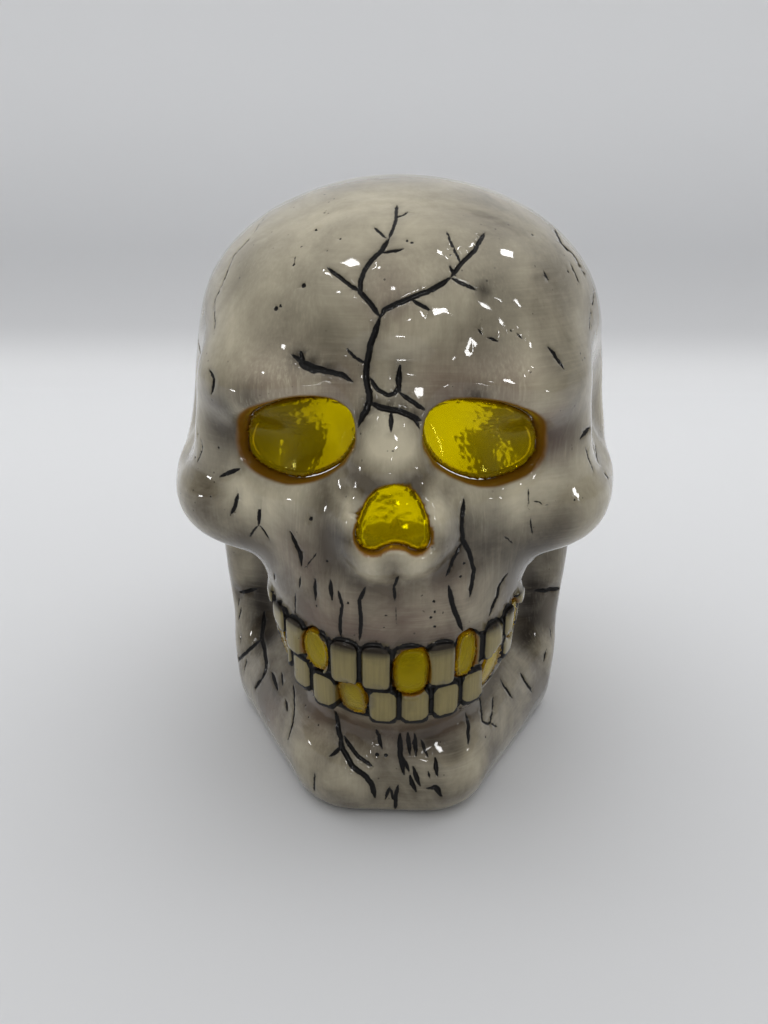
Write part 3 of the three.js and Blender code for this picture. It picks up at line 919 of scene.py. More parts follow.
def setMeshPoints(mesh, points):
    mesh.vertices.foreach_set("co", np.ascontiguousarray(points, np.float32).ravel())
    mesh.update()


def toClay(points):
    return points / mm - clayShift


def toFrame(points):
    return (points + clayShift) * mm


def smoothShaded(mesh):
    mesh.polygons.foreach_set("use_smooth", np.ones(len(mesh.polygons), bool))
    mesh.update()


def pieceOf(name, bm):
    # a smooth-shaded piece of what a bmesh holds
    bmesh.ops.recalc_face_normals(bm, faces=bm.faces)
    mesh = bpy.data.meshes.new(name)
    bm.to_mesh(mesh)
    bm.free()
    smoothShaded(mesh)
    return addPiece(name, mesh)


def remeshedCopy(name, node, voxel):
    # a copy of a frame solid, merged and laid over with even quads
    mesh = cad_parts[node].data.copy()
    mesh.name = name
    mesh.materials.clear()
    bm = bmesh.new()
    bm.from_mesh(mesh)
    bmesh.ops.remove_doubles(bm, verts=bm.verts, dist=1e-6)
    bm.to_mesh(mesh)
    bm.free()
    for layer in list(mesh.uv_layers):
        mesh.uv_layers.remove(layer)
    piece = addPiece(name, mesh)
    remesh = piece.modifiers.new("remesh", "REMESH")
    remesh.mode = "VOXEL"
    remesh.voxel_size = voxel * mm
    remesh.adaptivity = 0
    evaluated = piece.evaluated_get(bpy.context.evaluated_depsgraph_get())
    fine = bpy.data.meshes.new_from_object(evaluated)
    fine.name = name
    piece.modifiers.clear()
    piece.data = fine
    bpy.data.meshes.remove(mesh)
    return piece


def addAttribute(mesh, name, values):
    layer = mesh.attributes.new(name, "FLOAT", "POINT")
    layer.data.foreach_set("value", np.ascontiguousarray(values, np.float32))


def refine(mesh, keep):
    # cuts every edge whose two ends are kept
    bm = bmesh.new()
    bm.from_mesh(mesh)
    bm.verts.ensure_lookup_table()
    edges = [e for e in bm.edges if keep[e.verts[0].index] and keep[e.verts[1].index]]
    bmesh.ops.subdivide_edges(bm, edges=edges, cuts=1, use_grid_fill=True)
    bmesh.ops.triangulate(bm, faces=[f for f in bm.faces if len(f.verts) > 4])
    bm.to_mesh(mesh)
    bm.free()


# the casting's mesh, finer near marks, teeth and rims; lengths in mm
body = {
    "voxel": 2.2,
    "markReach": [1.6, 0.5, 0.05],
    "toothReach": [2.2, 0.9, 0.4],
    "rimReach": 2.6,
    "markDeep": 2,
    "toothDeep": 2.5,
    "rimDeep": 5,
    "toothFront": 4.5,
    "toothBack": 6,
    "bulgeReach": 7,
}


def nearMarks(points, marks, pits, extra):
    near = np.zeros(len(points), bool)
    for width, spots in marks:
        reach = max(width / 2, 0.3) + extra
        near |= fieldDistance(points, spots, reach) < reach
    for radius, spots in pits:
        near |= fieldDistance(points, spots, radius + extra) < radius + extra
    return near


def toothEdgeField(points):
    # distance to the nearest tooth outline on its face, how near a point is to that tooth's gum end,
    # and 1 where that tooth is a lower one
    edge, gum, low = np.full(len(points), 99.0), np.zeros(len(points)), np.zeros(len(points))
    near = np.flatnonzero(nearTeeth(points))
    part = points[near]
    best, ends, lower = np.full(len(near), 99.0), np.zeros(len(near)), np.zeros(len(near))
    for tooth in teeth:
        _, out, up = toothPlane(part, tooth)
        onFace = (out > -body["toothBack"]) & (out < body["toothFront"])
        flat = np.where(onFace, toothEdge(part, tooth), 99)
        closer = flat < best
        best[closer] = flat[closer]
        ends[closer] = (up if tooth["upper"] else -up)[closer] / (tooth["height"] / 2)
        lower[closer] = not tooth["upper"]
    edge[near], gum[near], low[near] = best, ends, lower
    return edge, gum, low


def makeMarks():
    # cracks as (width, spots) and pits as (radius, spots), all laid on the skin
    marks = drawMarks(outside)
    rng = random.Random(5)
    for azimuth, height, heading, length, width in hiddenCracks:
        walkCrack(rng, azimuth, height, heading, length, width, marks, outside)
    print("marks drawn:", len(marks))
    return marks, [(radius, skinSpots(pixels, outside)) for radius, pixels in pitPixels]


def makeSkull(marks, pits):
    piece = remeshedCopy("glazed_skull", "skull_body", body["voxel"])
    mesh = piece.data
    points = settle(casting, toClay(meshPoints(mesh)), 3, 2.0)
    setMeshPoints(mesh, points)
    for turn, (reach, toothReach) in enumerate(zip(body["markReach"], body["toothReach"])):
        edge = np.abs(toothEdgeField(points)[0])
        skin = outside(points)
        near = nearMarks(points, marks, pits, reach) & (skin > -body["markDeep"])
        near |= (edge < toothReach) & (skin > -body["toothDeep"])
        if turn == 0:
            for hole in openings.values():
                spot = np.flatnonzero(nearOpening(points, hole, reaches["mesh"]))
                rim = np.abs(openingEdge(points[spot], hole)) < body["rimReach"]
                near[spot[rim & (skin[spot] > -body["rimDeep"])]] = True
        refine(mesh, near)
        points = settle(casting, meshPoints(mesh), 2, 0.8)
        setMeshPoints(mesh, points)
        print("skull points:", len(points))
    return piece, points


def unevenness(points, grain, seed):
    return np.array([noise.noise(Vector(p) / grain + Vector((seed, 0, 0))) for p in points])


glaze = {
    "bone": "#d8ceb2",
    "boneShade": "#584d39",
    # soot colour, also laid as painted shade
    "soot_and_shade": "#2a2217",
    "blush": "#705549",
    "tooth": "#8e8049",
    "toothShade": "#5a5029",
    "ink": "#080503",
    "amber": "#80560a",
    "bisque": "#d8cdb6",
    "coatRoughness": 0.045,
    "ior": 1.5,
}
# stain and painted shade in the bone colour: shares, and the bulges and heights in mm between which they
# change
stainAndShade = {
    "middle": 0.48,
    "hollow": 0.35,
    "hollowFade": (-0.6, 0.25),
    "ridge": 0.3,
    "ridgeFade": (0.45, 1.6),
    "low": 0.27,
    "lowFade": (70, 112),
    "lump": 0.45,
}
# between which two values a look comes in, in mm: height over the skin, distance from a tooth's
# outline, place from front to back and height over the floor
fades = {
    "skin": (-2.5, -0.8),
    "inside": (-5.2, -4.2),
    "tooth": (-0.15, 0.35),
    "front": (-12, 2),
    "foot": (2, 8),
    "seamIn": (-0.4, 0),
    "seamOut": (0.5, 1.2),
}
# grooves round the teeth and the ink in them, in mm; ends of a tooth count -1 at the bite and 1 at the gum
seams = {
    "deep": 0.35,
    "backShare": 0.3,
    "markShare": 0.5,
    "inkOnTooth": 0.5,
    "inkOff": 2,
    "inner": 0.4,
    "outer": 0.45,
    "back": 0.3,
    "bite": 0.25,
    "lowBite": 0.5,
    "biteFade": (0.45, 0.75),
    "lowGum": 1.5,
    "gumFade": (0.4, 0.65),
    "lowGumOuter": 1.9,
}
# soot beside cracks, and soot with painted shade along, over and round the teeth: shares, widths and reach
# in mm
sootyShade = {
    "crack": 0.5,
    "side": 0.8,
    "sideWidth": 0.8,
    "gum": 1.2,
    "lowGum": 0.8,
    "gumFade": (0.1, 0.9),
    "gumPower": 1.4,
    "round": 0.8,
    "roundWidth": 1.5,
    "lowRound": 1.2,
    "roundReach": 20,
}
rimStain = {"width": 1.2, "deep": 0.75, "reach": 4}


def bulge(points, reach):
    # how far the clay bulges, above 0, or is hollow, below 0, over a reach in mm
    around = np.zeros(len(points))
    for axis in range(3):
        for way in (-reach, reach):
            moved = points.copy()
            moved[:, axis] += way
            around += softMin(*outerClay(moved), skull["jawFillet"])
    return around / 6 - softMin(*outerClay(points), skull["jawFillet"])


def normalsOf(field, points, value):
    slope = slopeOf(field, points, value)
    return slope / np.maximum(np.linalg.norm(slope, axis=1, keepdims=True), 1e-9)


def stainAndShadeOn(points, lumps):
    curve = bulge(points, body["bulgeReach"])
    # darker in hollows and lighter on ridges: stain left in the hollows, with painted shade in them and
    # painted light on the ridges
    shade = stainAndShade["middle"] + stainAndShade["hollow"] * (1 - smoothStep(*stainAndShade["hollowFade"], curve))
    shade -= stainAndShade["ridge"] * smoothStep(*stainAndShade["ridgeFade"], curve)
    # darker towards the bottom of the skull
    shade += stainAndShade["low"] * (1 - smoothStep(*stainAndShade["lowFade"], points[:, 2]))
    # pressed hollows are painted darker and lumps lighter: painted shade and light
    shade += patchesOn(points, stainAndShadingPixels, outside) - stainAndShade["lump"] * lumps
    return shade


def sootAndShadeOn(points, halo, onTooth, edge, gum, low):
    # soot round the cracks, and soot with painted shade along the teeth's sides, at their gum ends and on
    # the skin round them
    side = np.exp(-np.maximum(-edge, 0) / sootyShade["sideWidth"])
    gums = smoothStep(*sootyShade["gumFade"], gum) ** sootyShade["gumPower"]
    gums = (sootyShade["gum"] - sootyShade["lowGum"] * low) * gums
    around = sootyShade["round"] * np.exp(-np.maximum(edge - sootyShade["lowRound"] * low, 0) / sootyShade["roundWidth"])
    soot_and_shade = np.maximum(patchesOn(points, sootAndShadePixels, outside), sootyShade["crack"] * halo)
    soot_and_shade = np.maximum(soot_and_shade, onTooth * np.maximum(sootyShade["side"] * side, gums))
    return np.maximum(soot_and_shade, around * (edge < sootyShade["roundReach"]) * (1 - onTooth))


def seamInk(edge, gum, low, front):
    # distance to the ink between the teeth, which is wider at the bite and at the lower teeth's gum
    bite = (seams["bite"] + seams["lowBite"] * low) * smoothStep(*seams["biteFade"], -gum)
    gums = seams["lowGum"] * low * smoothStep(*seams["gumFade"], gum)
    outer = edge - seams["outer"] - seams["lowGumOuter"] * low * (gum > 1)
    return np.maximum(-seams["inner"] - bite - gums - edge, outer) + seams["back"] * (1 - front)


def amberOn(points, skin):
    # distance to the stain on the openings' rims, below 0 in it
    amber = np.full(len(points), cut["far"])
    for hole in openings.values():
        spot = np.flatnonzero(nearOpening(points, hole, rimStain["reach"]))
        rim = openingEdge(points[spot], hole) - rimStain["width"]
        amber[spot] = np.minimum(amber[spot], np.maximum(rim, skin[spot] + rimStain["deep"]))
    return amber


def dressSkull(piece, points, marks, pits):
    # cuts the marks and grooves into the casting, and lays on what its material reads
    mesh = piece.data
    normal = normalsOf(casting, points, casting(points))
    skin = outside(points)
    onSkin = smoothStep(*fades["skin"], skin)
    groove, ink, halo = marksOn(points, marks, pits)
    edge, gum, low = toothEdgeField(points)
    onTooth = (1 - smoothStep(*fades["tooth"], edge)) * onSkin
    front = 1 - smoothStep(*fades["front"], points[:, 1] + arch["middle"])
    seam = smoothStep(*fades["seamIn"], edge) * (1 - smoothStep(*fades["seamOut"], edge)) * onSkin
    seam = seam * (seams["backShare"] + (1 - seams["backShare"]) * front)
    groove = groove * onSkin * (1 - seams["markShare"] * onTooth)
    ink = np.minimum(ink + seams["inkOnTooth"] * onTooth, seamInk(edge, gum, low, front))
    ink += seams["inkOff"] * (1 - onSkin)
    wave = skull["unevenness"] * unevenness(points, skull["unevenGrain"], 3.1)
    fineGrain = skull["unevenGrain"] / skull["finer"]
    wave += skull["fineShare"] * skull["unevenness"] * unevenness(points, fineGrain, 8.4)
    above = smoothStep(*fades["foot"], points[:, 2])
    lumps = patchesOn(points, lumpPixels, outside) * onSkin * (1 - onTooth)
    moved = lumps - groove - (np.abs(wave) + seams["deep"] * seam) * onSkin * above
    setMeshPoints(mesh, toFrame(points + normal * moved[:, None]))
    laid = {
        "ink_edge": ink,
        # soot with painted shade round the teeth and in recesses
        "soot_and_shade": sootAndShadeOn(points, halo, onTooth, edge, gum, low) * onSkin,
        "blush": patchesOn(points, blushPixels, outside) * onSkin,
        "tooth": onTooth,
        # stain with painted shade and light
        "shade": stainAndShadeOn(points, lumps),
        "amber_edge": amberOn(points, skin),
        "within": 1 - smoothStep(*fades["inside"], skin),
    }
    for name, values in laid.items():
        addAttribute(mesh, name, values)
    smoothShaded(mesh)


skullMarks, skullPits = makeMarks()
skullPiece, skullPoints = makeSkull(skullMarks, skullPits)
dressSkull(skullPiece, skullPoints, skullMarks, skullPits)
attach(skullPiece, "casting")
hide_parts("skull_body")
print("skull made:", sum(len(p.vertices) - 2 for p in skullPiece.data.polygons), "triangles")


# Resin windows. Olive patches of painted shade, where the dark inside is seen through the resin: radius in
# mm, strength, pixels
oliveShadePixels = [
    (9, 0.9, [(262, 425), (280, 432), (298, 440), (312, 455), (250, 445), (290, 460), (300, 410),
        (270, 408)]),
    (7, 0.7, [(516, 425), (520, 450), (508, 468), (526, 440), (490, 476)]),
    (4, 0.8, [(392, 531), (380, 534), (405, 532)]),
    (4, 0.4, [(430, 420), (434, 440)]),
    (7, 0.9, [(306, 425), (314, 438), (322, 455), (302, 412), (330, 462)]),
    (6, 1.3, [(334, 428), (338, 442)]),
    (2.5, 0.8, [(414, 663), (407, 664), (412, 672), (312, 642), (468, 640), (464, 652), (346, 688)]),
]


def paneField(hole, recess):
    def field(points):
        head = clay(points, headShares)
        edge = openingEdge(points, hole)
        climb = pane["meniscus"] * np.clip(1 + edge / pane["meniscusWidth"], 0, 1) ** 2
        front = head + recess - climb
        back = -(head + recess + pane["thick"])
        return softMax(softMax(edge, front, pane["edge"]), back, pane["edge"])
    return field


def makePane(name, hole):
    # a settled copy of the CAD pane: lumpy at the back of the large ones, amber along its rim
    inTooth = hole["kind"] == "tooth"
    recess = pane["toothRecess"] if inTooth else pane["recess"]
    piece = remeshedCopy(name + "_resin", name, pane["toothVoxel"] if inTooth else pane["voxel"])
    mesh = piece.data
    points = toClay(meshPoints(mesh))
    field = paneField(hole, recess)
    points = settle(field, points, 4, 0.5)
    if not inTooth:
        back = recess + pane["thick"]
        deep = smoothStep(*(back + fade for fade in pane["backFade"]), -clay(points, headShares))
        lumps = unevenness(points, pane["lumpGrain"], 4.2)
        lumps += pane["fineShare"] * unevenness(points, pane["lumpGrain"] / pane["finer"], 7.7)
        normal = normalsOf(field, points, field(points))
        points = points - normal * (pane["lumps"] * np.abs(lumps) * deep)[:, None]
    setMeshPoints(mesh, toFrame(points))
    rim = pane["rimWidth"]
    if inTooth:
        rim = pane["lowerRimWidth" if name.startswith("lower") else "upperRimWidth"]
    addAttribute(mesh, "rim", smoothStep(-rim, -0.1, openingEdge(points, hole)))
    # olive patches of painted shade, where the dark inside is seen through
    addAttribute(mesh, "painted_olive_shade", patchesOn(points, oliveShadePixels, outside))
    smoothShaded(mesh)
    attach(piece, "casting")
    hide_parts(name)
    return piece


panes = [makePane(name, hole) for name, hole in openings.items()]
print("panes made:", len(panes))


# Votive candle: pressed glass cup, paraffin, tinplate tab and cotton wick
votive = {
    "wall": 0.8,
    "foot": 1.1,
    "waxDip": 1.6,
    "poolShare": 0.62,
    "steps": 64,
    "wickTurns": 5,
    "wickRings": 60,
    "wickSides": 24,
    "wickCore": 0.86,
    "wickStrand": 0.13,
    "fray": 0.35,
    "frayFrom": 0.93,
    "frayLength": 0.07,
}


def boxOf(node):
    low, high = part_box(node)
    middle = (low + high) / 2
    return middle, (high - low) / 2, low.z, high.z


def spunPiece(name, profile, middle):
    # profile points (radius, height) in metres, spun about the piece's upright axis
    bm = bmesh.new()
    verts = [bm.verts.new((middle.x + r, middle.y, z)) for r, z in profile]
    edges = [bm.edges.new(pair) for pair in zip(verts, verts[1:] + verts[:1])]
    bmesh.ops.spin(bm, geom=verts + edges, cent=(middle.x, middle.y, 0), axis=(0, 0, 1),
                   angle=2 * math.pi, steps=votive["steps"], use_merge=True)
    bmesh.ops.remove_doubles(bm, verts=bm.verts, dist=1e-6)
    return pieceOf(name, bm)


def finishPiece(piece, node, bevel=0, levels=0):
    if bevel:
        edge = piece.modifiers.new("edge", "BEVEL")
        edge.width = bevel * mm
        edge.segments = 3
        edge.limit_method = "ANGLE"
        edge.angle_limit = math.radians(35)
    if levels:
        smooth = piece.modifiers.new("smooth", "SUBSURF")
        smooth.levels = smooth.render_levels = levels
    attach(piece, "candle")
    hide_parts(node)
    return piece


def makeCup():
    middle, half, low, high = boxOf("candle_cup")
    r, wall, foot = half.x, votive["wall"] * mm, votive["foot"] * mm
    profile = [
        (r - 3 * mm, low + 0.4 * mm), (r - 1.2 * mm, low), (r - 0.2 * mm, low + 0.9 * mm),
        (r, low + 3 * mm), (r, high - 3 * mm), (r - 0.1 * mm, high - 0.4 * mm), (r - wall / 2, high),
        (r - wall, high - 0.4 * mm), (r - wall, high - 3 * mm), (r - wall, low + 3 * mm),
        (r - wall - 0.6 * mm, low + foot), (r - 4 * mm, low + foot * 0.85),
        (1e-5, low + foot * 0.85), (1e-5, low + 0.5 * mm),
    ]
    return finishPiece(spunPiece("votive_cup", profile, middle), "candle_cup", levels=1)


def makeWax():
    middle, half, low, high = boxOf("candle_wax")
    r, dip = half.x, votive["waxDip"] * mm
    (tabLow, tabHigh), (wickLow, wickHigh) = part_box("wick_tab"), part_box("candle_wick")
    tabHalf, tabTop = (tabHigh.x - tabLow.x) / 2 + 0.2 * mm, tabHigh.z + 0.2 * mm
    hole = (wickHigh.x - wickLow.x) / 2 + 0.15 * mm
    profile = [
        (tabHalf, low), (r - 0.4 * mm, low), (r, low + 0.6 * mm), (r, high - 0.5 * mm),
        (r - 0.5 * mm, high), (r - 1.6 * mm, high - 0.1 * mm), (r * 0.82, high - dip * 0.35),
        (r * votive["poolShare"], high - dip * 0.8), (r * 0.35, high - dip),
        (hole + 1.2 * mm, high - dip * 0.95), (hole + 0.3 * mm, high - dip * 0.55),
        (hole, high - dip * 0.6), (hole, tabTop), (tabHalf, tabTop),
    ]
    return finishPiece(spunPiece("paraffin", profile, middle), "candle_wax", levels=1)


def makeTab():
    middle, half, low, high = boxOf("wick_tab")
    r, rim = half.x, 0.35 * mm
    profile = [
        (1e-5, low + 0.1 * mm), (r * 0.7, low + 0.1 * mm), (r - rim, low), (r, low + rim / 2),
        (r, low + rim * 1.5), (r - rim, low + rim * 1.2), (r * 0.7, low + 0.5 * mm),
        (r * 0.3, low + 0.55 * mm), (r * 0.24, high), (r * 0.17, high), (r * 0.16, low + 0.6 * mm),
        (1e-5, low + 0.55 * mm),
    ]
    return finishPiece(spunPiece("tinplate_tab", profile, middle), "wick_tab", bevel=0.05)


def makeWick():
    middle, half, low, high = boxOf("candle_wick")
    bm = bmesh.new()
    for i in range(votive["wickRings"] + 1):
        share = i / votive["wickRings"]
        z = low + (high - low) * share
        turn = votive["wickTurns"] * 2 * math.pi * share
        fray = max(0, (share - votive["frayFrom"]) / votive["frayLength"]) ** 2
        fray = 1 - votive["fray"] * fray
        ring = bmesh.ops.create_circle(bm, segments=votive["wickSides"], radius=half.x * fray)["verts"]
        for v in ring:
            angle = math.atan2(v.co.y, v.co.x)
            scale = votive["wickCore"] + votive["wickStrand"] * abs(math.cos(1.5 * (angle + turn)))
            v.co = Vector((middle.x + v.co.x * scale, middle.y + v.co.y * scale, z))
    bm.edges.ensure_lookup_table()
    bmesh.ops.bridge_loops(bm, edges=bm.edges)
    bmesh.ops.holes_fill(bm, edges=[e for e in bm.edges if e.is_boundary], sides=0)
    return finishPiece(pieceOf("cotton_wick", bm), "candle_wick")


cup, wax, tab, wick = makeCup(), makeWax(), makeTab(), makeWick()
print("candle made")


# Materials
def linear(hexColour):
    parts = [int(hexColour[i:i + 2], 16) / 255 for i in (1, 3, 5)]
    return tuple(p / 12.92 if p <= 0.04045 else ((p + 0.055) / 1.055) ** 2.4 for p in parts) + (1,)


def addNode(tree, kind, settings=None, out=0, **links):
    # one node, its settings, and its inputs as values or as sockets to link from; hands back one output
    node = tree.nodes.new("ShaderNode" + kind)
    for key, value in (settings or {}).items():
        setattr(node, key, value)
    for key, value in links.items():
        numbered = key[0] == "i" and key[1:].isdigit()
        socket = node.inputs[int(key[1:]) if numbered else key.replace("_", " ")]
        if isinstance(value, bpy.types.NodeSocket):
            tree.links.new(value, socket)
        else:
            socket.default_value = value
    return node.outputs[out] if len(node.outputs) else None


def newMaterial(name):
    material = bpy.data.materials.new(name)
    material.use_nodes = True
    tree = material.node_tree
    tree.nodes.clear()
    return material, tree, addNode(tree, "TexCoord", out="Object")


# what many nodes share; a colour mix hands back output 2 and takes its colours on inputs 6 and 7
colourMix = {"data_type": "RGBA"}
smooth = {"interpolation_type": "SMOOTHSTEP"}
falling = {"To_Min": 1.0, "To_Max": 0.0}
plus = {"operation": "ADD"}
times = {"operation": "MULTIPLY", "use_clamp": True}
# patterns of the glaze, in mm
pattern = {
    "streakWidth": 0.7,
    "streakLength": 14,
    "cloud": 19,
    "field": 41,
    "dust": 3.4,
    "inkGrain": 0.8,
    "wave": 5,
    "waveDepth": 0.4,
    "streakDepth": 0.08,
}


def glazedMaterial():
    # Slip-cast earthenware: airbrushed underglaze stain wiped with a brush, then a clear gloss glaze.
    # The eye sees soft brown clouds and hair-fine streaks under a wet, slightly wavy shine.
    material, tree, place = newMaterial("slip-cast earthenware, clear gloss glaze")
    laid = {}
    for name in ("shade", "blush", "tooth", "soot_and_shade", "within", "amber_edge", "ink_edge"):
        laid[name] = addNode(tree, "Attribute", {"attribute_name": name}, out="Fac")
    hues = {name: linear(glaze[name]) for name in glaze if str(glaze[name]).startswith("#")}
    scale = {name: 1 / mm / size for name, size in pattern.items()}

    # brush streaks run upright in some fields and level in others
    across, along = scale["streakWidth"], scale["streakLength"]
    upright = addNode(tree, "Mapping", Vector=place, Scale=(across, across, along))
    level = addNode(tree, "Mapping", Vector=place, Scale=(along, along, across))
    upright = addNode(tree, "TexNoise", Vector=upright, Scale=1.0, Detail=3.0, Roughness=0.6)
    level = addNode(tree, "TexNoise", Vector=level, Scale=1.0, Detail=3.0, Roughness=0.6)
    field = addNode(tree, "TexNoise", Vector=place, Scale=scale["field"], Detail=2.0)
    pick = addNode(tree, "MapRange", smooth, Value=field, From_Min=0.42, From_Max=0.58)
    streak = addNode(tree, "Mix", {"data_type": "FLOAT"}, i0=pick, i2=upright, i3=level)
    cloud = addNode(tree, "TexNoise", Vector=place, Scale=scale["cloud"], Detail=5.0, Roughness=0.62,
                    Distortion=0.4)

    # bone colour, darker where more stain and painted shade are laid in it
    shade = laid["shade"]
    for source, depth in ((cloud, 0.24), (streak, 0.035)):
        more = addNode(tree, "MapRange", Value=source, From_Min=0.3, From_Max=0.7, To_Min=-depth,
                       To_Max=depth)
        shade = addNode(tree, "Math", plus, i0=shade, i1=more)
    shade = addNode(tree, "Clamp", Value=shade)
    colour = addNode(tree, "Mix", colourMix, out=2, i0=shade, i6=hues["bone"], i7=hues["boneShade"])

    # colours laid over the bone, each with its share
    broken = addNode(tree, "MapRange", smooth, Value=streak, From_Min=0.0, From_Max=0.65)
    blush = addNode(tree, "Math", times, i0=laid["blush"], i1=broken)
    grooves = addNode(tree, "MapRange", smooth, Value=upright, From_Min=0.3, From_Max=0.75)
    grooves = addNode(tree, "Math", times, i0=grooves, i1=0.3)
    tooth = addNode(tree, "Mix", colourMix, out=2, i0=grooves, i6=hues["tooth"], i7=hues["toothShade"])
    # soot with painted shade, broken by the streaks
    broken = addNode(tree, "MapRange", smooth, Value=streak, From_Min=-0.1, From_Max=0.55)
    soot_and_shade = addNode(tree, "Math", times, i0=laid["soot_and_shade"], i1=broken)
    dust = addNode(tree, "TexVoronoi", {"feature": "F1"}, Vector=place, Scale=scale["dust"], Randomness=1.0)
    dust = addNode(tree, "Math", {"operation": "LESS_THAN"}, i0=dust, i1=0.09)
    fields = addNode(tree, "MapRange", smooth, Value=cloud, From_Min=0.5, From_Max=0.6)
    dust = addNode(tree, "Math", times, i0=dust, i1=fields)
    dust = addNode(tree, "Math", times, i0=dust, i1=0.7)
    amber = laid["amber_edge"]
    amber = addNode(tree, "MapRange", smooth, Value=amber, From_Min=-0.3, From_Max=0.35, **falling)
    fray = addNode(tree, "TexNoise", Vector=place, Scale=scale["inkGrain"], Detail=2.0)
    fray = addNode(tree, "Math", times, i0=fray, i1=0.24)
    edge = addNode(tree, "Math", plus, i0=laid["ink_edge"], i1=fray)
    ink = addNode(tree, "MapRange", smooth, Value=edge, From_Min=0.02, From_Max=0.24, **falling)
    layers = [
        (blush, hues["blush"]),
        (laid["tooth"], tooth),
        (soot_and_shade, hues["soot_and_shade"]),
        (dust, hues["soot_and_shade"]),
        (laid["within"], hues["bisque"]),
        (amber, hues["amber"]),
        (ink, hues["ink"]),
    ]
    for share, over in layers:
        colour = addNode(tree, "Mix", colourMix, out=2, i0=share, i6=colour, i7=over)

    # the glaze is clear and wet but sinks into soot, painted shade and ink, which stay dull
    wave = addNode(tree, "TexNoise", Vector=place, Scale=scale["wave"], Detail=1.0)
    bump = addNode(tree, "Bump", Height=wave, Strength=0.12, Distance=pattern["waveDepth"] * mm)
    fine = addNode(tree, "Bump", Height=streak, Strength=0.05, Distance=pattern["streakDepth"] * mm,
                   Normal=bump)
    dull = addNode(tree, "Math", times, i0=soot_and_shade, i1=soot_and_shade)
    dull = addNode(tree, "Math", {"operation": "MAXIMUM"}, i0=ink, i1=dull)
    coat = addNode(tree, "MapRange", Value=dull, To_Min=1.0, To_Max=0.2)
    shader = addNode(tree, "BsdfPrincipled", Base_Color=colour, Roughness=0.5, IOR=1.45, Coat_Weight=coat,
                     Specular_IOR_Level=0.15, Coat_Roughness=glaze["coatRoughness"], Coat_IOR=glaze["ior"],
                     Coat_Normal=bump, Normal=fine)
    addNode(tree, "OutputMaterial", Surface=shader)
    return material


# the olive colour is painted shade of the dark inside seen through the resin
resin = {"colour": "#f0d800", "painted_olive_shade": "#947a00", "rim": "#b07a00", "glint": "#fff200", "grain": 0.7}


def resinMaterial():
    # Polyester casting resin, tinted yellow, poured from behind: a glossy face with a lumpy, dusty back,
    # and olive patches of painted shade.
    material, tree, place = newMaterial("cast polyester resin, clear yellow")
    grain = addNode(tree, "TexNoise", Vector=place, Scale=1 / mm / resin["grain"], Detail=2.0)
    bump = addNode(tree, "Bump", Height=grain, Strength=0.15, Distance=0.12 * mm)
    colour = linear(resin["colour"])
    # olive patches of painted shade, then the amber rim
    for name in ("painted_olive_shade", "rim"):
        share = addNode(tree, "Attribute", {"attribute_name": name}, out="Fac")
        colour = addNode(tree, "Mix", colourMix, out=2, i0=share, i6=colour, i7=linear(resin[name]))
    shader = addNode(tree, "BsdfPrincipled", Base_Color=colour, Roughness=0.08, IOR=1.5,
                     Transmission_Weight=0.75, Specular_IOR_Level=0.3, Specular_Tint=linear(resin["glint"]),
                     Normal=bump)
    addNode(tree, "OutputMaterial", Surface=shader)
    return material


def glassMaterial():
    # Soda-lime glass, pressed in a mould: clear, with soft ripples.
    material, tree, place = newMaterial("soda-lime glass, pressed")
    ripple = addNode(tree, "TexNoise", Vector=place, Scale=1 / mm / 9, Detail=1.0)
    bump = addNode(tree, "Bump", Height=ripple, Strength=0.15, Distance=0.5 * mm)
    shader = addNode(tree, "BsdfPrincipled", Base_Color=linear("#f4f8f7"), Roughness=0.03, IOR=1.52,
                     Transmission_Weight=1.0, Normal=bump)
    addNode(tree, "OutputMaterial", Surface=shader)
    return material


def waxMaterial():
    # Paraffin wax, poured: milky, soft-edged and faintly mottled.
    material, tree, place = newMaterial("paraffin wax, poured")
    mottle = addNode(tree, "TexNoise", Vector=place, Scale=1 / mm / 6, Detail=4.0)
    colour = addNode(tree, "Mix", colourMix, out=2, i0=mottle, i6=linear("#efe8d6"), i7=linear("#e2d8c0"))
    bump = addNode(tree, "Bump", Height=mottle, Strength=0.2, Distance=0.3 * mm)
    shader = addNode(tree, "BsdfPrincipled", Base_Color=colour, Roughness=0.42, IOR=1.44,
                     Subsurface_Weight=0.4, Subsurface_Radius=(4 * mm, 3 * mm, 2 * mm), Normal=bump)
    addNode(tree, "OutputMaterial", Surface=shader)
    return material


def tinMaterial():
    # Tinplate, stamped: dull silver with fine drawing marks.
    material, tree, place = newMaterial("tinplate, stamped")
    fine, coarse = 1 / mm / 0.125, 1 / mm / 2.5
    place = addNode(tree, "Mapping", Vector=place, Scale=(fine, coarse, coarse))
    lines = addNode(tree, "TexNoise", Vector=place, Scale=1.0)
    rough = addNode(tree, "MapRange", Value=lines, To_Min=0.25, To_Max=0.45)
    shader = addNode(tree, "BsdfPrincipled", Base_Color=linear("#b9bcbe"), Metallic=1.0, Roughness=rough)
    addNode(tree, "OutputMaterial", Surface=shader)
    return material


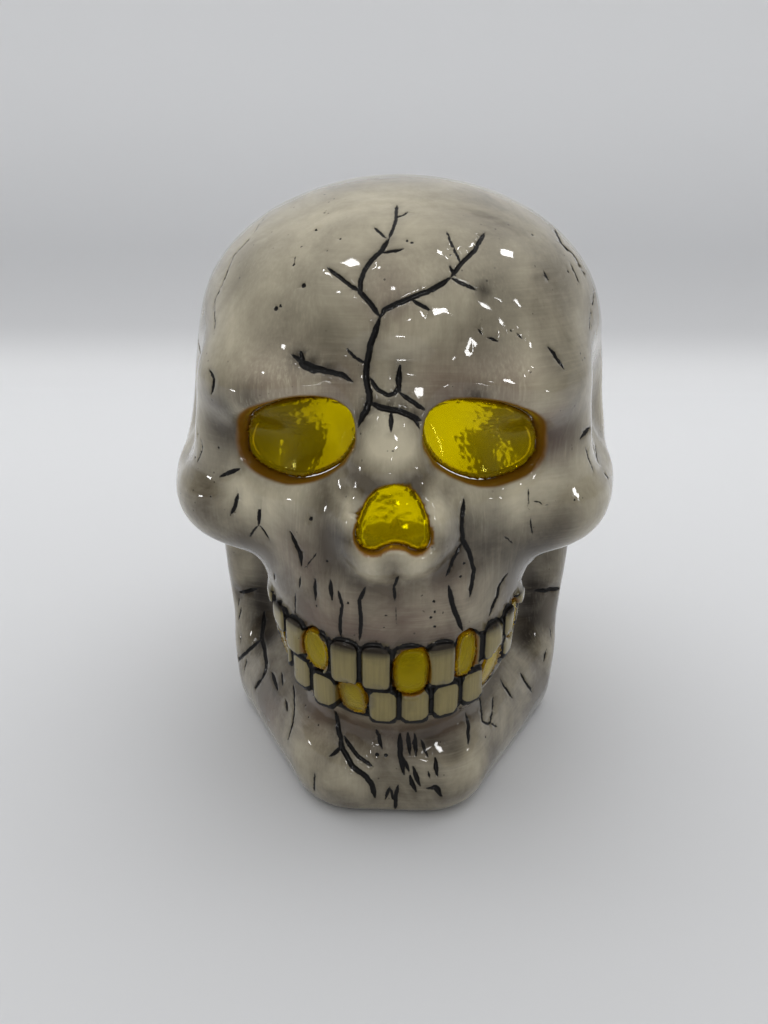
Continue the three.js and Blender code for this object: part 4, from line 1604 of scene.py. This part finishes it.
def cottonMaterial():
    # Cotton wick, braided and waxed, with a charred tip.
    material, tree, place = newMaterial("cotton, braided and waxed")
    height = addNode(tree, "SeparateXYZ", out="Z", Vector=place)
    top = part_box("candle_wick")[1].z
    char = addNode(tree, "MapRange", smooth, Value=height, From_Min=top - 5 * mm, From_Max=top - 2.5 * mm)
    weave = addNode(tree, "TexWave", {"bands_direction": "DIAGONAL"}, out=1, Vector=place, Scale=1 / mm / 3,
                    Distortion=1.0)
    pale = addNode(tree, "Mix", colourMix, out=2, i0=weave, i6=linear("#d9d0bb"), i7=linear("#b9ae95"))
    colour = addNode(tree, "Mix", colourMix, out=2, i0=char, i6=pale, i7=linear("#15110e"))
    bump = addNode(tree, "Bump", Height=weave, Strength=0.5, Distance=0.15 * mm)
    shader = addNode(tree, "BsdfPrincipled", Base_Color=colour, Roughness=0.8, Normal=bump)
    addNode(tree, "OutputMaterial", Surface=shader)
    return material


skullPiece.data.materials.append(glazedMaterial())
resinCast = resinMaterial()
for piece in panes:
    piece.data.materials.append(resinCast)
for piece, make in ((cup, glassMaterial), (wax, waxMaterial), (tab, tinMaterial), (wick, cottonMaterial)):
    piece.data.materials.append(make())
print("materials made")


# Studio
studio = {
    "paper": "#f1f2f4",
    "paperShade": "#c2c3c6",
    "sky": "#f6f6f5",
    "sweepFar": 0.6,
    "sweepRadius": 0.12,
    "sweepHeight": 0.9,
    "half": 3.0,
    "skyLow": 0.2,
    "skyHigh": 0.95,
    "ceilingHeight": 2,
    "ceilingBack": 0.5,
    "ceilingSize": [3, 2.2],
    "skyLean": 0.35,
    "ceilingWatts": 14,
    "wallWatts": 1.3,
    "glintRange": 1.2,
    "glintWatts": 70,
}
# Lamps that only glint in the glaze: bearing from the face, height angle, width and height in metres
glints = [
    (-64, 67, 0.13, 0.12),
    (-29, 68, 0.04, 0.05),
    (-5, 49, 0.05, 0.06),
    (80, 75, 0.06, 0.07),
    (112, 50, 0.11, 0.08),
    (22, 20, 0.18, 0.15),
    (47, 29, 0.05, 0.05),
    (73, 34, 0.04, 0.05),
    (59, 34, 0.03, 0.02),
    (-40, 39, 0.07, 0.06),
    (2, -4, 0.12, 0.02),
    (-80, -3, 0.12, 0.03),
    (72, 0, 0.10, 0.03),
    (7, 12, 0.05, 0.02),
]


def makeStudio():
    bm = bmesh.new()
    side, far, radius = studio["half"], studio["sweepFar"], studio["sweepRadius"]
    line = [(-side, 0), (far - radius, 0)]
    line += [(far - radius + radius * math.sin(a), radius - radius * math.cos(a))
             for a in np.linspace(0.1, math.pi / 2, 12)]
    line += [(far, studio["sweepHeight"])]
    verts = [bm.verts.new((-side, y, z)) for y, z in line]
    edges = [bm.edges.new(pair) for pair in zip(verts, verts[1:])]
    moved = bmesh.ops.extrude_edge_only(bm, edges=edges)["geom"]
    moved = [v for v in moved if isinstance(v, bmesh.types.BMVert)]
    bmesh.ops.translate(bm, vec=(2 * side, 0, 0), verts=moved)
    sweep = pieceOf("paper_sweep", bm)
    material, tree, place = newMaterial("paper, matt, painted shade")
    height = addNode(tree, "SeparateXYZ", out="Z", Vector=place)
    depth = addNode(tree, "SeparateXYZ", out="Y", Vector=place)
    # the paper is painted darker at the foot of the sweep and towards the front: painted shade
    low = addNode(tree, "MapRange", smooth, Value=height, From_Min=0.005, From_Max=0.05, To_Max=0.55)
    high = addNode(tree, "MapRange", smooth, Value=height, From_Min=0.06, From_Max=0.3, **falling)
    near = addNode(tree, "MapRange", smooth, Value=depth, From_Min=-0.2, From_Max=0.55, To_Min=0.6,
                   To_Max=0.0)
    dull = addNode(tree, "Math", times, i0=low, i1=high)
    dull = addNode(tree, "Math", plus, i0=dull, i1=near)
    colour = addNode(tree, "Mix", colourMix, out=2, i0=dull, i6=linear(studio["paper"]),
                     i7=linear(studio["paperShade"]))
    shader = addNode(tree, "BsdfPrincipled", Base_Color=colour, Roughness=0.9)
    addNode(tree, "OutputMaterial", Surface=shader)
    sweep.data.materials.append(material)


def addLamp(name, at, target, size, watts):
    data = bpy.data.lights.new(name, "AREA")
    data.shape = "RECTANGLE"
    data.size, data.size_y = size
    data.energy = watts
    return addPiece(name, data, at, target)


def lightStudio():
    world = bpy.data.worlds.new("studio")
    bpy.context.scene.world = world
    world.use_nodes = True
    tree = world.node_tree
    tree.nodes.clear()
    way = addNode(tree, "TexCoord", out="Generated")
    up = addNode(tree, "SeparateXYZ", out="Z", Vector=way)
    behind = addNode(tree, "SeparateXYZ", out="Y", Vector=way)
    lean = addNode(tree, "Math", times, i0=behind, i1=studio["skyLean"])
    climb = addNode(tree, "Math", plus, i0=up, i1=lean)
    strength = addNode(tree, "MapRange", smooth, Value=climb, From_Min=0.05, From_Max=1.0,
                       To_Min=studio["skyLow"], To_Max=studio["skyHigh"])
    back = addNode(tree, "Background", Color=linear(studio["sky"]), Strength=strength)
    addNode(tree, "OutputWorld", Surface=back)
    back, high = studio["ceilingBack"], studio["ceilingHeight"]
    lamp = addLamp("ceiling", (0, back, high), (0, back, 0), studio["ceilingSize"], studio["ceilingWatts"])
    lamp.visible_glossy = False
    wash = addLamp("wall wash", (0, 0.1, 0.95), (0, studio["sweepFar"], 0.3), (2, 0.3), studio["wallWatts"])
    wash.visible_glossy = False
    middle = Vector((0, -0.05, 0.13))
    for number, (bearing, height, wide, tall) in enumerate(glints):
        a, e = math.radians(bearing), math.radians(height)
        way = Vector((math.sin(a) * math.cos(e), -math.cos(a) * math.cos(e), math.sin(e)))
        lamp = addLamp(f"glint {number}", middle + way * studio["glintRange"], middle, (wide, tall),
                       studio["glintWatts"] * wide * tall)
        lamp.visible_diffuse = False


makeStudio()
lightStudio()
bpy.context.scene.view_settings.view_transform = "Standard"
print("studio made")
